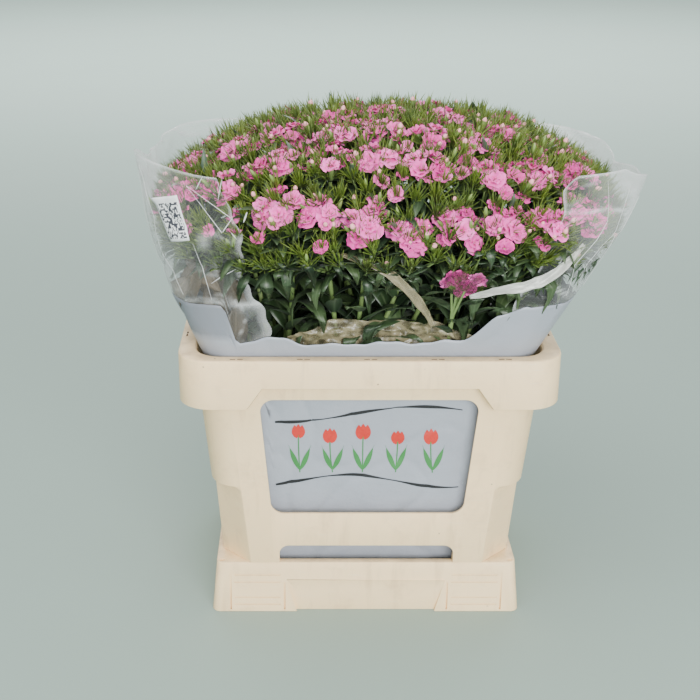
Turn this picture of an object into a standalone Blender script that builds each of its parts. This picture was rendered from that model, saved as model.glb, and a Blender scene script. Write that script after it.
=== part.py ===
# Cut pink dianthus in a film sleeve, standing in a two-part flower container.
# Units are metres, +Z is up, the front faces -Y, and the origin is on the floor under the middle.

import math
import random

import bmesh
import bpy
from mathutils import Matrix, Vector
from mathutils.bvhtree import BVHTree

# Sizes of the container. A pair is (along X, along Y), and half sizes end in HALF.
TRAY_FOOT_HALF = (0.1930, 0.1435)
TRAY_TOP_HALF = (0.1865, 0.1380)
TRAY_HEIGHT = 0.0680
TRAY_RIM = 0.0100
TRAY_FLOOR = 0.0065
TRAY_CORNER = 0.0100
TRAY_EDGE = 0.0014
CAVITY_TAPER = 0.0040
CAVITY_CHAMFER = 0.0340
RIM_HALF = (0.2250, 0.1675)
RIM_TOP = 0.3500
RIM_CORNER = 0.0400
RIM_EDGE = 0.0015
APRON_MIDDLE = 0.3155
APRON_CORNER = 0.2890
EAR_START = 0.0990
EAR_END = 0.0805
WALL = 0.0030
FLANGE = 0.0045
WALL_TOP_HALF = (0.2075, 0.1542)
WALL_STEP_HALF = (0.1915, 0.1450)
CHAMFER_TOP_HALF = (0.1865, 0.1446)
WALL_FOOT_HALF = (0.1795, 0.1388)
STEP_HIGH = 0.1770
STEP_LOW = 0.1710
WALL_CORNER = 0.0370
CHAMFER_TOP = 0.0330
CHAMFER_FOOT = 0.0360
PLUG_DEPTH = 0.0160
PLUG_GAP = 0.0006
PLUG_TOP = 0.0750
WINDOW_TOP = 0.2945
WINDOW_FOOT = 0.1395
WINDOW_TOP_HALF = 0.1290
WINDOW_FOOT_HALF = 0.1183
WINDOW_CORNER = 0.0160
SIDE_CUT = 0.0575
NOTCH_TOP = 0.0932
NOTCH_HALF = 0.1080
NOTCH_CORNER = 0.0120
POCKET_DEPTH = 0.0050
POCKET_TOP = 0.0440
POCKET_LEDGE = 0.0280
POCKET_TOP_HALF = 0.0995
POCKET_FOOT_HALF = 0.0845
PAD_SPAN = (0.1070, 0.1650)
PAD_GROOVES = (0.0105, 0.0200, 0.0410, 0.0510)
GROOVE_WIDTH = 0.0022
GROOVE_DEPTH = 0.0010
VEE_PLACE = 0.1020
VEE_HALF = 0.0022
VEE_TOP = 0.0440
CORNER_STEPS = 3
GAP = 0.0003

# The water, and the film sleeve. Each section of the sleeve is
# (height, half X, half Y, corner radius, shift along X).
WATER_TOP = 0.0450
WATER_HOLE = 0.0135
WATER_HOLE_SIDES = 8
FILM = 0.0008
FILM_SECTIONS = (
    (0.056, 0.1590, 0.1130, 0.050, 0.000),
    (0.140, 0.1680, 0.1260, 0.050, 0.000),
    (0.290, 0.1775, 0.1350, 0.050, 0.000),
    (0.345, 0.2015, 0.1475, 0.040, 0.000),
    (0.410, 0.2350, 0.1640, 0.060, 0.004),
    (0.500, 0.2730, 0.1900, 0.080, 0.017),
    (0.590, 0.2930, 0.2080, 0.100, 0.025),
)
WHITE_HEIGHTS = (0.056, 0.140, 0.290, 0.345)
FILM_FRONT = (-1.0, -0.93, -0.62, -0.42, -0.1, 0.25, 0.62, 0.82, 1.0)
WHITE_FRONT_EDGE = (0.416, 0.367, 0.374, 0.363, 0.366, 0.367, 0.369, 0.404, 0.414)
WHITE_SIDE_EDGE = 0.412
FILM_SIDE_STEPS = 4
CLEAR_TOP = 0.583
CLEAR_TIP = 0.012
CLEAR_ROWS = 3
LABEL_SIZE = (0.0260, 0.0460)
LABEL_LIFT = 0.0014
LABEL_SHARE = 0.62
SCRAP_SPAN = (-0.058, 0.090)
SCRAP_DEPTH = (-0.1475, -0.1430)
SCRAP_HEIGHT = (0.352, 0.388)
SCRAP_WAVE = 0.006
SCRAP_STEPS = 10

# The flowers. The dome is the surface on which the heads stand.
SEED = 11
DOME_MIDDLE = 0.0235
DOME_HALF = (0.289, 0.225)
DOME_TOP = 0.604
DOME_DROP = 0.095
DOME_POWER = 2.6
HEAD_LEAN = (0.55, 0.60)
HANG_LEAN = 20.0
STEM_FOOT = 0.0070
STEM_RADIUS = (0.0038, 0.0024)
STEM_SIDES = 4
STEM_BEND = 0.35
STEM_RISE = 0.40
STEM_LEAD = 0.34
STEM_SWAY = 0.060
STEM_TRIES = 40
FORK_START = 0.090
FORK_STEP = 0.030
TRUNK_RADIUS = 0.0056
TRUNK_SIDES = 5
KNOB_DROP = 0.0270
KNOB_SIDES = 8
KNOB_ROWS = ((-0.0035, 0.0052), (0.0035, 0.0052))
KNOB_TOP = 0.0070
BLOOM_COUNTS = (3, 3, 4)
BLOOM_RADIUS = 0.0125
BLOOM_VARY = (0.94, 1.04)
BLOOM_PITCH = 0.0265
BLOOM_DEPTH = 0.0080
BLOOM_TILT = (0.25, 0.50)
BLOOM_STAGGER = 0.0025
BLOOM_SHRINK = 0.96
CORE_DROP = 0.0060
CORE_TALL = 0.0016
CORE_RADIUS = 0.0034
# Of each petal: how far out it reaches, as a share of the radius, and how high it lies.
PETALS = 5
PETAL_TIP = (1.0, 0.0008)
PETAL_DIP = (0.76, -0.0012)
PETAL_WAIST = (0.42, 0.0006)
INNER_TIP = (0.68, 0.0052)
INNER_CUP = 0.0028
PETAL_VARY = (0.94, 1.00)
PETAL_WAVE = 0.0010
CALYX_RADIUS = 0.0026
CALYX_STEP = 0.0010
BRACT_LENGTH = (0.028, 0.040)
BRACT_LIFTS = ((-0.1, 0.9), (0.8, 1.8))
BRACT_SKIP = 0.10
# A swollen node along a branch, and the sides of it that carry a leaf.
LEAF_NODES = ((0.62, (0, 2)), (0.80, (1, 3)))
NODE_HALF = 0.0030
NODE_SWELL = 1.25
NODE_TWIST = 0.6
LEAF_HALF = (0.0085, 0.0120)
LEAF_LENGTH = (0.062, 0.092)
LEAF_THICK = 0.0016
LEAF_OUTLINE = ((0.36, 1.0), (0.72, 0.66))
LEAF_FOLD = 0.22
LEAF_DROOP = 0.20
LEAF_RISE = (0.45, 1.3)
LEAF_SWING = 0.5
LEAF_SHORTEN = 0.45
TRIES = 14
FREE_SHARE = 0.06

# Each bunch: the foot of its stems, then the place of each head seen from above.
BUNCHES = {
    "left_front": ((-0.112, -0.062), ((-0.224, -0.085), (-0.17, -0.128), (-0.112, -0.118), (-0.105, -0.178))),
    "left_middle": ((-0.115, -0.005), ((-0.222, 0.020), (-0.158, -0.040), (-0.096, -0.052), (-0.122, 0.012))),
    "left_back": ((-0.100, 0.062), ((-0.185, 0.095), (-0.105, 0.085), (-0.085, 0.155), (-0.160, 0.160))),
    "front": ((-0.032, -0.084), ((-0.062, -0.192), (-0.012, -0.202), (0.040, -0.206))),
    "heart_front": ((0.010, -0.052), ((-0.052, -0.130), (0.004, -0.128), (0.060, -0.140), (0.090, -0.196))),
    "heart": ((-0.030, -0.010), ((-0.040, -0.068), (0.014, -0.060), (0.066, -0.082), (-0.042, 0.004))),
    "back": ((-0.010, 0.060), ((0.022, 0.022), (-0.020, 0.085), (0.035, 0.145), (0.075, 0.075))),
    "right_front": ((0.108, -0.074), ((0.104, -0.222), (0.142, -0.200), (0.196, -0.185), (0.236, -0.150))),
    "right_middle": ((0.072, -0.036), ((0.118, -0.090), (0.140, -0.142), (0.190, -0.125), (0.242, -0.075))),
    "right_back": ((0.110, 0.008), ((0.158, -0.032), (0.095, 0.005), (0.175, 0.055), (0.248, 0.005))),
    "right_far": ((0.095, 0.075), ((0.100, 0.135), (0.165, 0.120), (0.230, 0.080))),
}
# Heads that hang lower than the dome, by their number in the order above.
HANGING = {27: 0.052, 18: 0.010, 14: 0.012}

COLOURS = {
    "cream": ((0.78, 0.70, 0.58), 0.45, 1.0),
    "water": ((0.62, 0.72, 0.70), 0.08, 0.5),
    "white_film": ((0.70, 0.73, 0.79), 0.35, 1.0),
    "clear_film": ((0.80, 0.83, 0.84), 0.12, 0.3),
    "label": ((0.86, 0.86, 0.84), 0.50, 1.0),
    "brown_film": ((0.42, 0.36, 0.25), 0.40, 0.8),
    "leaf": ((0.10, 0.19, 0.06), 0.50, 1.0),
    "petal": ((0.80, 0.22, 0.42), 0.60, 1.0),
}


def clear_scene():
    for item in list(bpy.data.objects):
        bpy.data.objects.remove(item, do_unlink=True)


def make_material(name):
    colour, roughness, alpha = COLOURS[name]
    material = bpy.data.materials.new(name)
    material.use_nodes = True
    shader = material.node_tree.nodes["Principled BSDF"]
    shader.inputs["Base Color"].default_value = (*colour, 1.0)
    shader.inputs["Roughness"].default_value = roughness
    shader.inputs["Metallic"].default_value = 0.0
    shader.inputs["Alpha"].default_value = alpha
    return material


def add_object(name, points, faces, material=None):
    mesh = bpy.data.meshes.new(name)
    mesh.from_pydata([tuple(p) for p in points], [], faces)
    mesh.update()
    item = bpy.data.objects.new(name, mesh)
    bpy.context.scene.collection.objects.link(item)
    if material:
        mesh.materials.append(material)
    return item


def blend(low, high, share):
    return low + (high - low) * share


def shifted(half, amount):
    return tuple(value + amount for value in half)


# Rings and lofts

def corner_points(along, out, corner, chamfer):
    # The corner at the start of a side, in that side's own frame.
    points = []
    for step in range(CORNER_STEPS + 1):
        share = step / CORNER_STEPS
        if chamfer:
            points.append((-along + corner * share, -out + corner * (1 - share)))
        else:
            angle = math.pi * (1 + share / 2)
            points.append((-along + corner * (1 + math.cos(angle)), -out + corner * (1 + math.sin(angle))))
    return points


def ring(half, corner, height, chamfer=False, marks=None, mark_height=None):
    # A rounded or chamfered rectangle, anticlockwise from its front left corner. The marks are
    # two distances in from the end of each side, the second pair may lie at a height of its own.
    points = []
    for side in range(4):
        turn = Matrix.Rotation(side * math.pi / 2, 3, "Z")
        along, out = (half[0], half[1]) if side % 2 == 0 else (half[1], half[0])
        flat = [(x, y, height) for x, y in corner_points(along, out, corner, chamfer)]
        if marks:
            rim = RIM_HALF[side % 2]
            near, far = ((rim - mark) * along / rim for mark in marks)
            middle = height if mark_height is None else mark_height
            flat += [(-near, -out, height), (-far, -out, middle), (far, -out, middle), (near, -out, height)]
        points += [turn @ Vector(point) for point in flat]
    return points


def loft(name, rings, material, closed=False):
    # Joins equal rings into one skin: capped at both ends, or closed on itself.
    count = len(rings[0])
    points = [point for one in rings for point in one]
    faces = []
    last = len(rings) if closed else len(rings) - 1
    for low in range(last):
        high = (low + 1) % len(rings)
        for i in range(count):
            j = (i + 1) % count
            faces.append((low * count + i, low * count + j, high * count + j, high * count + i))
    if not closed:
        faces.append(tuple(reversed(range(count))))
        faces.append(tuple(range((len(rings) - 1) * count, len(rings) * count)))
    return add_object(name, points, faces, material)


def shell(name, outer, inner, count, material, closed):
    # A thin wall between two grids of points, split into triangles alike on both faces.
    rows = len(outer) // count - 1
    size = len(outer)
    columns = count if closed else count - 1
    faces = []
    for row in range(rows):
        for i in range(columns):
            j = (i + 1) % count
            a, b, c, d = row * count + i, row * count + j, (row + 1) * count + j, (row + 1) * count + i
            faces += [(a, b, c), (a, c, d), (a + size, c + size, b + size), (a + size, d + size, c + size)]
        if not closed:
            low, high = row * count, (row + 1) * count
            faces.append((low, high, high + size, low + size))
            low, high = low + count - 1, high + count - 1
            faces.append((high, low, low + size, high + size))
    top = rows * count
    for i in range(columns):
        j = (i + 1) % count
        faces.append((j, i, i + size, j + size))
        faces.append((top + i, top + j, top + j + size, top + i + size))
    return add_object(name, outer + inner, faces, material)


# Booleans

def evaluated_mesh(item):
    bpy.context.view_layer.update()
    graph = bpy.context.evaluated_depsgraph_get()
    return bpy.data.meshes.new_from_object(item.evaluated_get(graph))


def combine(item, others, operation, solver):
    # One Boolean on a collection, applied, and the collection's objects removed.
    group = bpy.data.collections.new(item.name + "_tools")
    bpy.context.scene.collection.children.link(group)
    for other in others:
        bpy.context.scene.collection.objects.unlink(other)
        group.objects.link(other)
    step = item.modifiers.new("combine", "BOOLEAN")
    step.operation = operation
    step.solver = solver
    step.operand_type = "COLLECTION"
    step.collection = group
    mesh = evaluated_mesh(item)
    item.modifiers.remove(step)
    item.data = mesh
    for other in others:
        bpy.data.objects.remove(other, do_unlink=True)
    bpy.data.collections.remove(group)
    return item


def prism(name, outline, place, depth):
    # The outline is in the plane of one wall, and place turns a wall's point into a world point.
    count = len(outline)
    points = [place(x, -depth, z) for x, z in outline] + [place(x, depth, z) for x, z in outline]
    faces = [tuple(range(count)), tuple(reversed(range(count, 2 * count)))]
    for i in range(count):
        j = (i + 1) % count
        faces.append((i, i + count, j + count, j))
    return add_object(name, points, faces)


def rounded_outline(top_half, foot_half, low, high, top_corner, foot_corner):
    # A trapezium with round corners, anticlockwise seen from the front.
    outline = []
    for x, z, corner, start in (
        (foot_half, low, foot_corner, -90),
        (top_half, high, top_corner, 0),
        (-top_half, high, top_corner, 90),
        (-foot_half, low, foot_corner, 180),
    ):
        if corner == 0:
            outline.append((x, z))
            continue
        middle_x = x - math.copysign(corner, x)
        middle_z = z + corner if z == low else z - corner
        for step in range(CORNER_STEPS + 1):
            angle = math.radians(start + 90 * step / CORNER_STEPS)
            outline.append((middle_x + corner * math.cos(angle), middle_z + corner * math.sin(angle)))
    return outline


def across_y(x, y, z):
    return (x, y, z)


def across_x(x, y, z):
    return (-y, x, z)


# Container

def cavity_half(height):
    share = (height - TRAY_FLOOR) / (TRAY_HEIGHT - TRAY_FLOOR)
    return shifted(TRAY_TOP_HALF, -TRAY_RIM - CAVITY_TAPER * (1 - share))


def pocket_cutter(sign):
    # The shallow recess in the lower middle of a long wall, with a sloping ledge at its top.
    face = TRAY_FOOT_HALF[1]
    out = face + POCKET_DEPTH
    drop = (TRAY_FOOT_HALF[1] - TRAY_TOP_HALF[1]) * POCKET_TOP / TRAY_HEIGHT
    deep = face - POCKET_DEPTH
    section = ((out, POCKET_TOP), (face - drop, POCKET_TOP), (deep, POCKET_LEDGE), (deep, -TRAY_FLOOR),
               (out, -TRAY_FLOOR))
    widths = (POCKET_TOP_HALF, POCKET_TOP_HALF, POCKET_FOOT_HALF, POCKET_FOOT_HALF, POCKET_FOOT_HALF)
    left = [(-w, -sign * y, z) for (y, z), w in zip(section, widths)]
    right = [(w, -sign * y, z) for (y, z), w in zip(section, widths)]
    count = len(section)
    faces = [tuple(range(count)), tuple(reversed(range(count, 2 * count)))]
    for i in range(count):
        j = (i + 1) % count
        faces.append((i, i + count, j + count, j))
    if sign > 0:
        faces = [tuple(reversed(face_points)) for face_points in faces]
    return add_object("pocket", left + right, faces)


def box(name, low, high):
    points = [(x, y, z) for x in (low[0], high[0]) for y in (low[1], high[1]) for z in (low[2], high[2])]
    faces = [(0, 1, 3, 2), (4, 6, 7, 5), (0, 4, 5, 1), (2, 3, 7, 6), (0, 2, 6, 4), (1, 5, 7, 3)]
    return add_object(name, points, faces)


def tray_face(height):
    return blend(TRAY_FOOT_HALF[1], TRAY_TOP_HALF[1], height / TRAY_HEIGHT)


def tray_cutters():
    # The recess, the ribbed pads' grooves and the two upright grooves, on the front and the back.
    cutters = []
    for sign in (1, -1):
        cutters.append(pocket_cutter(sign))
        for side in (1, -1):
            xs = sorted((side * PAD_SPAN[0], side * PAD_SPAN[1]))
            for middle in PAD_GROOVES:
                ys = sorted((-sign * (tray_face(middle) - GROOVE_DEPTH), -sign * (TRAY_FOOT_HALF[1] + WALL)))
                zs = (middle - GROOVE_WIDTH / 2, middle + GROOVE_WIDTH / 2)
                cutters.append(box("groove", (xs[0], ys[0], zs[0]), (xs[1], ys[1], zs[1])))
            vee = sorted((side * VEE_PLACE - VEE_HALF, side * VEE_PLACE + VEE_HALF))
            ys = sorted((-sign * (tray_face(VEE_TOP) - GROOVE_DEPTH), -sign * (TRAY_FOOT_HALF[1] + WALL)))
            cutters.append(box("vee", (vee[0], ys[0], TRAY_EDGE * 2), (vee[1], ys[1], VEE_TOP - WALL)))
    return cutters


def build_tray(material):
    cavity_top = cavity_half(TRAY_HEIGHT)
    rings = [
        ring(cavity_half(TRAY_FLOOR), CAVITY_CHAMFER, TRAY_FLOOR, chamfer=True),
        ring(cavity_top, CAVITY_CHAMFER, TRAY_HEIGHT, chamfer=True),
        ring(shifted(TRAY_TOP_HALF, -TRAY_EDGE), TRAY_CORNER, TRAY_HEIGHT),
        ring(TRAY_TOP_HALF, TRAY_CORNER, TRAY_HEIGHT - TRAY_EDGE),
        ring(TRAY_FOOT_HALF, TRAY_CORNER, TRAY_EDGE),
        ring(shifted(TRAY_FOOT_HALF, -TRAY_EDGE), TRAY_CORNER, 0.0),
    ]
    tray = loft("container_base", list(reversed(rings)), material)
    return combine(tray, tray_cutters(), "DIFFERENCE", "EXACT")


def collar_rings():
    marks = (EAR_END, EAR_START)
    plug = shifted(cavity_half(TRAY_HEIGHT), -PLUG_GAP)
    foot = TRAY_HEIGHT + GAP
    plug_end = foot - PLUG_DEPTH
    inner = shifted(WALL_TOP_HALF, -WALL)
    rows = (
        (shifted(RIM_HALF, -RIM_EDGE), RIM_CORNER, RIM_TOP, False, None),
        (RIM_HALF, RIM_CORNER, RIM_TOP - RIM_EDGE, False, None),
        (RIM_HALF, RIM_CORNER, APRON_CORNER, False, APRON_MIDDLE),
        (shifted(RIM_HALF, -WALL), RIM_CORNER - WALL, APRON_CORNER, False, APRON_MIDDLE),
        (shifted(RIM_HALF, -WALL), RIM_CORNER - WALL, RIM_TOP - FLANGE, False, None),
        (WALL_TOP_HALF, WALL_CORNER, RIM_TOP - FLANGE, False, None),
        (WALL_STEP_HALF, WALL_CORNER, STEP_HIGH, False, None),
        (CHAMFER_TOP_HALF, CHAMFER_TOP, STEP_LOW, True, None),
        (WALL_FOOT_HALF, CHAMFER_FOOT, foot, True, None),
        (plug, CAVITY_CHAMFER, foot, True, None),
        (shifted(plug, -PLUG_GAP), CAVITY_CHAMFER, plug_end, True, None),
        (shifted(plug, -PLUG_GAP - WALL), CAVITY_CHAMFER, plug_end, True, None),
        (shifted(plug, -WALL), CAVITY_CHAMFER, PLUG_TOP, True, None),
        (shifted(WALL_FOOT_HALF, -WALL), CHAMFER_FOOT, PLUG_TOP + 2 * WALL, True, None),
        (shifted(CHAMFER_TOP_HALF, -WALL), CHAMFER_TOP, STEP_LOW + WALL, True, None),
        (shifted(WALL_STEP_HALF, -WALL), WALL_CORNER, STEP_HIGH + WALL, False, None),
        (inner, WALL_CORNER - WALL, RIM_TOP, False, None),
    )
    return [ring(half, corner, z, chamfer, marks, middle) for half, corner, z, chamfer, middle in rows]


def collar_cutters():
    # A window and an open notch below it, through the front and back and through the two ends.
    cutters = []
    reach = RIM_HALF[0]
    low = TRAY_HEIGHT - 2 * PLUG_DEPTH
    for place, cut in ((across_y, 0.0), (across_x, SIDE_CUT)):
        window = rounded_outline(WINDOW_TOP_HALF - cut, WINDOW_FOOT_HALF - cut, WINDOW_FOOT, WINDOW_TOP,
                                 WINDOW_CORNER, WINDOW_CORNER)
        notch = rounded_outline(NOTCH_HALF - cut, NOTCH_HALF - cut, low, NOTCH_TOP, NOTCH_CORNER, 0)
        cutters.append(prism("window", window, place, reach))
        cutters.append(prism("notch", notch, place, reach))
    return cutters


def build_collar(material):
    collar = loft("collar", list(reversed(collar_rings())), material, closed=True)
    return combine(collar, collar_cutters(), "DIFFERENCE", "EXACT")


def build_water(material):
    low = TRAY_FLOOR + GAP
    rings = [
        ring(shifted(cavity_half(z), -GAP), CAVITY_CHAMFER, z, chamfer=True)
        for z in (low, WATER_TOP)
    ]
    water = loft("water", rings, material)
    holes = []
    for foot, heads in BUNCHES.values():
        outline = []
        for step in range(WATER_HOLE_SIDES):
            angle = 2 * math.pi * step / WATER_HOLE_SIDES
            outline.append((foot[0] + WATER_HOLE * math.cos(angle), foot[1] + WATER_HOLE * math.sin(angle)))
        sections = [[(x, y, z) for x, y in outline] for z in (0.0, WATER_TOP + TRAY_FLOOR)]
        holes.append(loft("hole", sections, None))
    return combine(water, holes, "DIFFERENCE", "EXACT")


# Film sleeve

def film_section(height):
    for low, high in zip(FILM_SECTIONS, FILM_SECTIONS[1:]):
        if height <= high[0] or high is FILM_SECTIONS[-1]:
            share = (height - low[0]) / (high[0] - low[0])
            return tuple(blend(a, b, share) for a, b in zip(low, high))


def film_columns():
    # Every column of the sleeve as (side, share along the side or corner, whether it is a corner).
    columns = []
    for side in range(4):
        columns += [(side, step / CORNER_STEPS, True) for step in range(CORNER_STEPS + 1)]
        shares = FILM_FRONT[1:-1] if side == 0 else [
            2 * step / FILM_SIDE_STEPS - 1 for step in range(1, FILM_SIDE_STEPS)]
        columns += [(side, share, False) for share in shares]
    return columns


def film_point(column, height, inset=0.0):
    side, share, is_corner = column
    _, half_x, half_y, corner, shift = film_section(height)
    half_x, half_y, corner = half_x - inset, half_y - inset, corner - inset
    along, out = (half_x, half_y) if side % 2 == 0 else (half_y, half_x)
    if is_corner:
        angle = math.pi * (1 + share / 2)
        flat = (-along + corner * (1 + math.cos(angle)), -out + corner * (1 + math.sin(angle)), height)
    else:
        flat = (share * (along - corner), -out, height)
    return Matrix.Rotation(side * math.pi / 2, 3, "Z") @ Vector(flat) + Vector((shift, 0, 0))


def white_edge(column):
    side, share, is_corner = column
    if is_corner and side == 0 and share == 1:
        return WHITE_FRONT_EDGE[0]
    if is_corner and side == 1 and share == 0:
        return WHITE_FRONT_EDGE[-1]
    if side == 0 and not is_corner:
        return WHITE_FRONT_EDGE[FILM_FRONT.index(share)]
    return WHITE_SIDE_EDGE


def build_white_film(material):
    columns = film_columns()

    def grid(inset):
        rows = [[film_point(c, z, inset) for c in columns] for z in WHITE_HEIGHTS]
        rows.append([film_point(c, white_edge(c), inset) for c in columns])
        return [point for row in rows for point in row]

    return shell("sleeve_white", grid(0.0), grid(FILM), len(columns), material, True)


def clear_columns():
    # From the front right corner round the back to the front left corner.
    columns = film_columns()
    start = columns.index((1, 1 / CORNER_STEPS, True))
    stop = columns.index((0, 1.0, True))
    return columns[start:] + columns[:stop + 1]


def clear_edge(column):
    # The top edge stands higher at the two front tips.
    side, share, is_corner = column
    tip = is_corner and side in (0, 1)
    return CLEAR_TOP - (0 if tip else CLEAR_TIP)


def build_clear_film(material):
    columns = clear_columns()

    def grid(inset):
        points = []
        for row in range(CLEAR_ROWS + 1):
            for column in columns:
                height = blend(white_edge(column) + 2 * GAP, clear_edge(column), row / CLEAR_ROWS)
                points.append(film_point(column, height, inset))
        return points

    return shell("sleeve_clear", grid(0.0), grid(FILM), len(columns), material, False)


def build_label(material):
    # Flat on one facet of the clear film at the front left corner.
    columns = film_columns()
    left, right = columns[1], columns[2]
    low, high = WHITE_SIDE_EDGE, CLEAR_TOP
    foot = (film_point(left, low) + film_point(right, low)) / 2
    head = (film_point(left, high) + film_point(right, high)) / 2
    middle = foot.lerp(head, LABEL_SHARE)
    up = (head - foot).normalized()
    along = film_point(right, high) - film_point(left, high)
    along = (along - up * along.dot(up)).normalized()
    out = along.cross(up)
    points = []
    for lift in (LABEL_LIFT, LABEL_LIFT + FILM):
        for x, z in ((-1, -1), (1, -1), (1, 1), (-1, 1)):
            points.append(middle + along * x * LABEL_SIZE[0] / 2 + up * z * LABEL_SIZE[1] / 2 + out * lift)
    faces = [(3, 2, 1, 0), (4, 5, 6, 7), (0, 1, 5, 4), (1, 2, 6, 5), (2, 3, 7, 6), (3, 0, 4, 7)]
    return add_object("label", points, faces, material)


def build_scrap(material):
    # The crumpled loose film along the front, a waved ribbon on edge.
    draw = random.Random(SEED)
    front, back = [], []
    for row in range(3):
        for step in range(SCRAP_STEPS + 1):
            x = blend(SCRAP_SPAN[0], SCRAP_SPAN[1], step / SCRAP_STEPS)
            y = blend(SCRAP_DEPTH[0], SCRAP_DEPTH[1], draw.random())
            z = blend(SCRAP_HEIGHT[0], SCRAP_HEIGHT[1], row / 2) + draw.uniform(-1, 1) * SCRAP_WAVE * row / 2
            front.append(Vector((x, y, z)))
            back.append(Vector((x, y + FILM, z)))
    return shell("torn_film", front, back, SCRAP_STEPS + 1, material, False)


# Flowers

def dome_height(x, y):
    u = abs(x - DOME_MIDDLE) / DOME_HALF[0]
    v = abs(y) / DOME_HALF[1]
    return DOME_TOP - DOME_DROP * (u ** DOME_POWER + v ** DOME_POWER)


def across(axis):
    # Two directions square to an axis.
    first = axis.cross(Vector((0, 1, 0)))
    if first.length < 0.1:
        first = axis.cross(Vector((1, 0, 0)))
    first.normalize()
    return first, axis.cross(first).normalized()


class Bloom:
    # One bloom: the middle of its disc of petals, the way it faces, its size and its turn.
    def __init__(self, middle, face, radius, turn):
        self.middle, self.face, self.radius, self.turn = middle, face, radius, turn
        self.foot = middle - face * BLOOM_DEPTH

    def petal(self, number, reach=1.0, lift=0.0):
        # A point on the disc, counted in half petals round it.
        first, second = across(self.face)
        angle = self.turn + number * math.pi / PETALS
        spoke = first * math.cos(angle) + second * math.sin(angle)
        return self.middle + spoke * self.radius * reach + self.face * lift

    def rings(self, draw):
        # Outer petals spread flat, a waist, and a second layer that stands up inside them.
        def waved(number, reach, lift):
            wave = draw.uniform(-1, 1) * PETAL_WAVE
            return self.petal(number, reach * draw.uniform(*PETAL_VARY), lift + wave)

        outer = [waved(i, *(PETAL_DIP if i % 2 else PETAL_TIP)) for i in range(2 * PETALS)]
        waist = [self.petal(2 * i + 1, *PETAL_WAIST) for i in range(PETALS)]
        inner = [waved(2 * i + 1, *INNER_TIP) for i in range(PETALS)]
        return outer, waist, inner, self.petal(0, 0.0, INNER_CUP)


class Head:
    # One flower head: where it stands, the way it faces, and the blooms on it.
    def __init__(self, number, x, y):
        draw = random.Random(SEED * 1000 + number)
        self.number = number
        hang = HANGING.get(number, 0.0)
        self.place = Vector((x, y, dome_height(x, y) - hang))
        lean_x = (x - DOME_MIDDLE) / DOME_HALF[0] * HEAD_LEAN[0] * (1 + hang * HANG_LEAN)
        lean_y = y / DOME_HALF[1] * HEAD_LEAN[1] * (1 + hang * HANG_LEAN)
        self.axis = Vector((lean_x, lean_y, 1)).normalized()
        self.knob = self.place - self.axis * KNOB_DROP
        first, second = across(self.axis)
        count = draw.choice(BLOOM_COUNTS)
        spread = BLOOM_PITCH / (2 * math.sin(math.pi / count))
        self.start = draw.uniform(0, 2 * math.pi)
        self.blooms = []
        for i in range(count):
            angle = self.start + 2 * math.pi * i / count
            side = first * math.cos(angle) + second * math.sin(angle)
            face = (self.axis + side * draw.uniform(*BLOOM_TILT)).normalized()
            middle = self.place + side * spread + self.axis * draw.uniform(-1, 1) * BLOOM_STAGGER
            radius = BLOOM_RADIUS * draw.uniform(*BLOOM_VARY)
            self.blooms.append(Bloom(middle, face, radius, draw.uniform(0, 2 * math.pi)))


def list_heads():
    heads = {}
    number = 0
    for name, (foot, places) in BUNCHES.items():
        heads[name] = []
        for x, y in places:
            heads[name].append(Head(number, x, y))
            number += 1
    return heads


def around(place, axis, radius, sides, turn=0.0):
    # Points in a circle, anticlockwise about the axis.
    first, second = across(axis)
    angles = [turn + 2 * math.pi * i / sides for i in range(sides)]
    return [place + (first * math.cos(a) + second * math.sin(a)) * radius for a in angles]


class Skin:
    # A closed skin that grows ring by ring, and whose faces can be raised.
    def __init__(self, points):
        self.points = list(points)
        self.ring = list(range(len(points)))
        self.faces = [tuple(reversed(self.ring))]

    def grow(self, points):
        # Adds a ring of the same count, or of twice the count, and returns the new faces.
        low = self.ring
        high = [len(self.points) + i for i in range(len(points))]
        self.points += points
        self.ring = high
        new = []
        for i in range(len(low)):
            j = (i + 1) % len(low)
            if len(high) == len(low):
                new += [(low[i], low[j], high[j]), (low[i], high[j], high[i])]
            else:
                a, b, c = high[2 * i], high[2 * i + 1], high[2 * j]
                new += [(low[i], low[j], b), (low[i], b, a), (low[j], c, b)]
        self.faces += new
        return new

    def close(self, tip):
        self.points.append(tip)
        last = len(self.points) - 1
        count = len(self.ring)
        new = [(self.ring[i], self.ring[(i + 1) % count], last) for i in range(count)]
        self.faces += new
        return new

    def side_face(self, side):
        # One triangle of a side between the last two rings.
        low = [index - len(self.ring) for index in self.ring]
        after = (side + 1) % len(self.ring)
        return low[side], low[after], self.ring[after]

    def middle(self, face):
        return sum((self.points[i] for i in face), Vector()) / len(face)

    def raise_rings(self, face, rings, tip=None):
        # Draws a face out through further rings, to a point or to a flat end.
        self.faces.remove(face)
        low = list(face)
        count = len(low)
        for points in rings:
            high = [len(self.points) + i for i in range(count)]
            self.points += points
            for i in range(count):
                j = (i + 1) % count
                self.faces += [(low[i], low[j], high[j]), (low[i], high[j], high[i])]
            low = high
        if tip is None:
            self.faces.append(tuple(low))
            return
        self.points.append(tip)
        last = len(self.points) - 1
        self.faces += [(low[i], low[(i + 1) % count], last) for i in range(count)]


def leaf_rings(root, heading, length, half, droop):
    # A pointed blade with a keel under its midrib, which arches over towards its tip.
    side = Vector((0, 0, 1)).cross(heading).normalized()
    rise = heading.cross(side).normalized()

    def spine(share):
        return root + heading * length * share - rise * droop * share * share

    rings = []
    for share, wide in LEAF_OUTLINE:
        middle = spine(share)
        edge = rise * (LEAF_THICK + half * wide * LEAF_FOLD)
        rings.append([middle - rise * LEAF_THICK, middle + side * half * wide + edge,
                      middle - side * half * wide + edge])
    return rings, spine(1.0)


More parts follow.
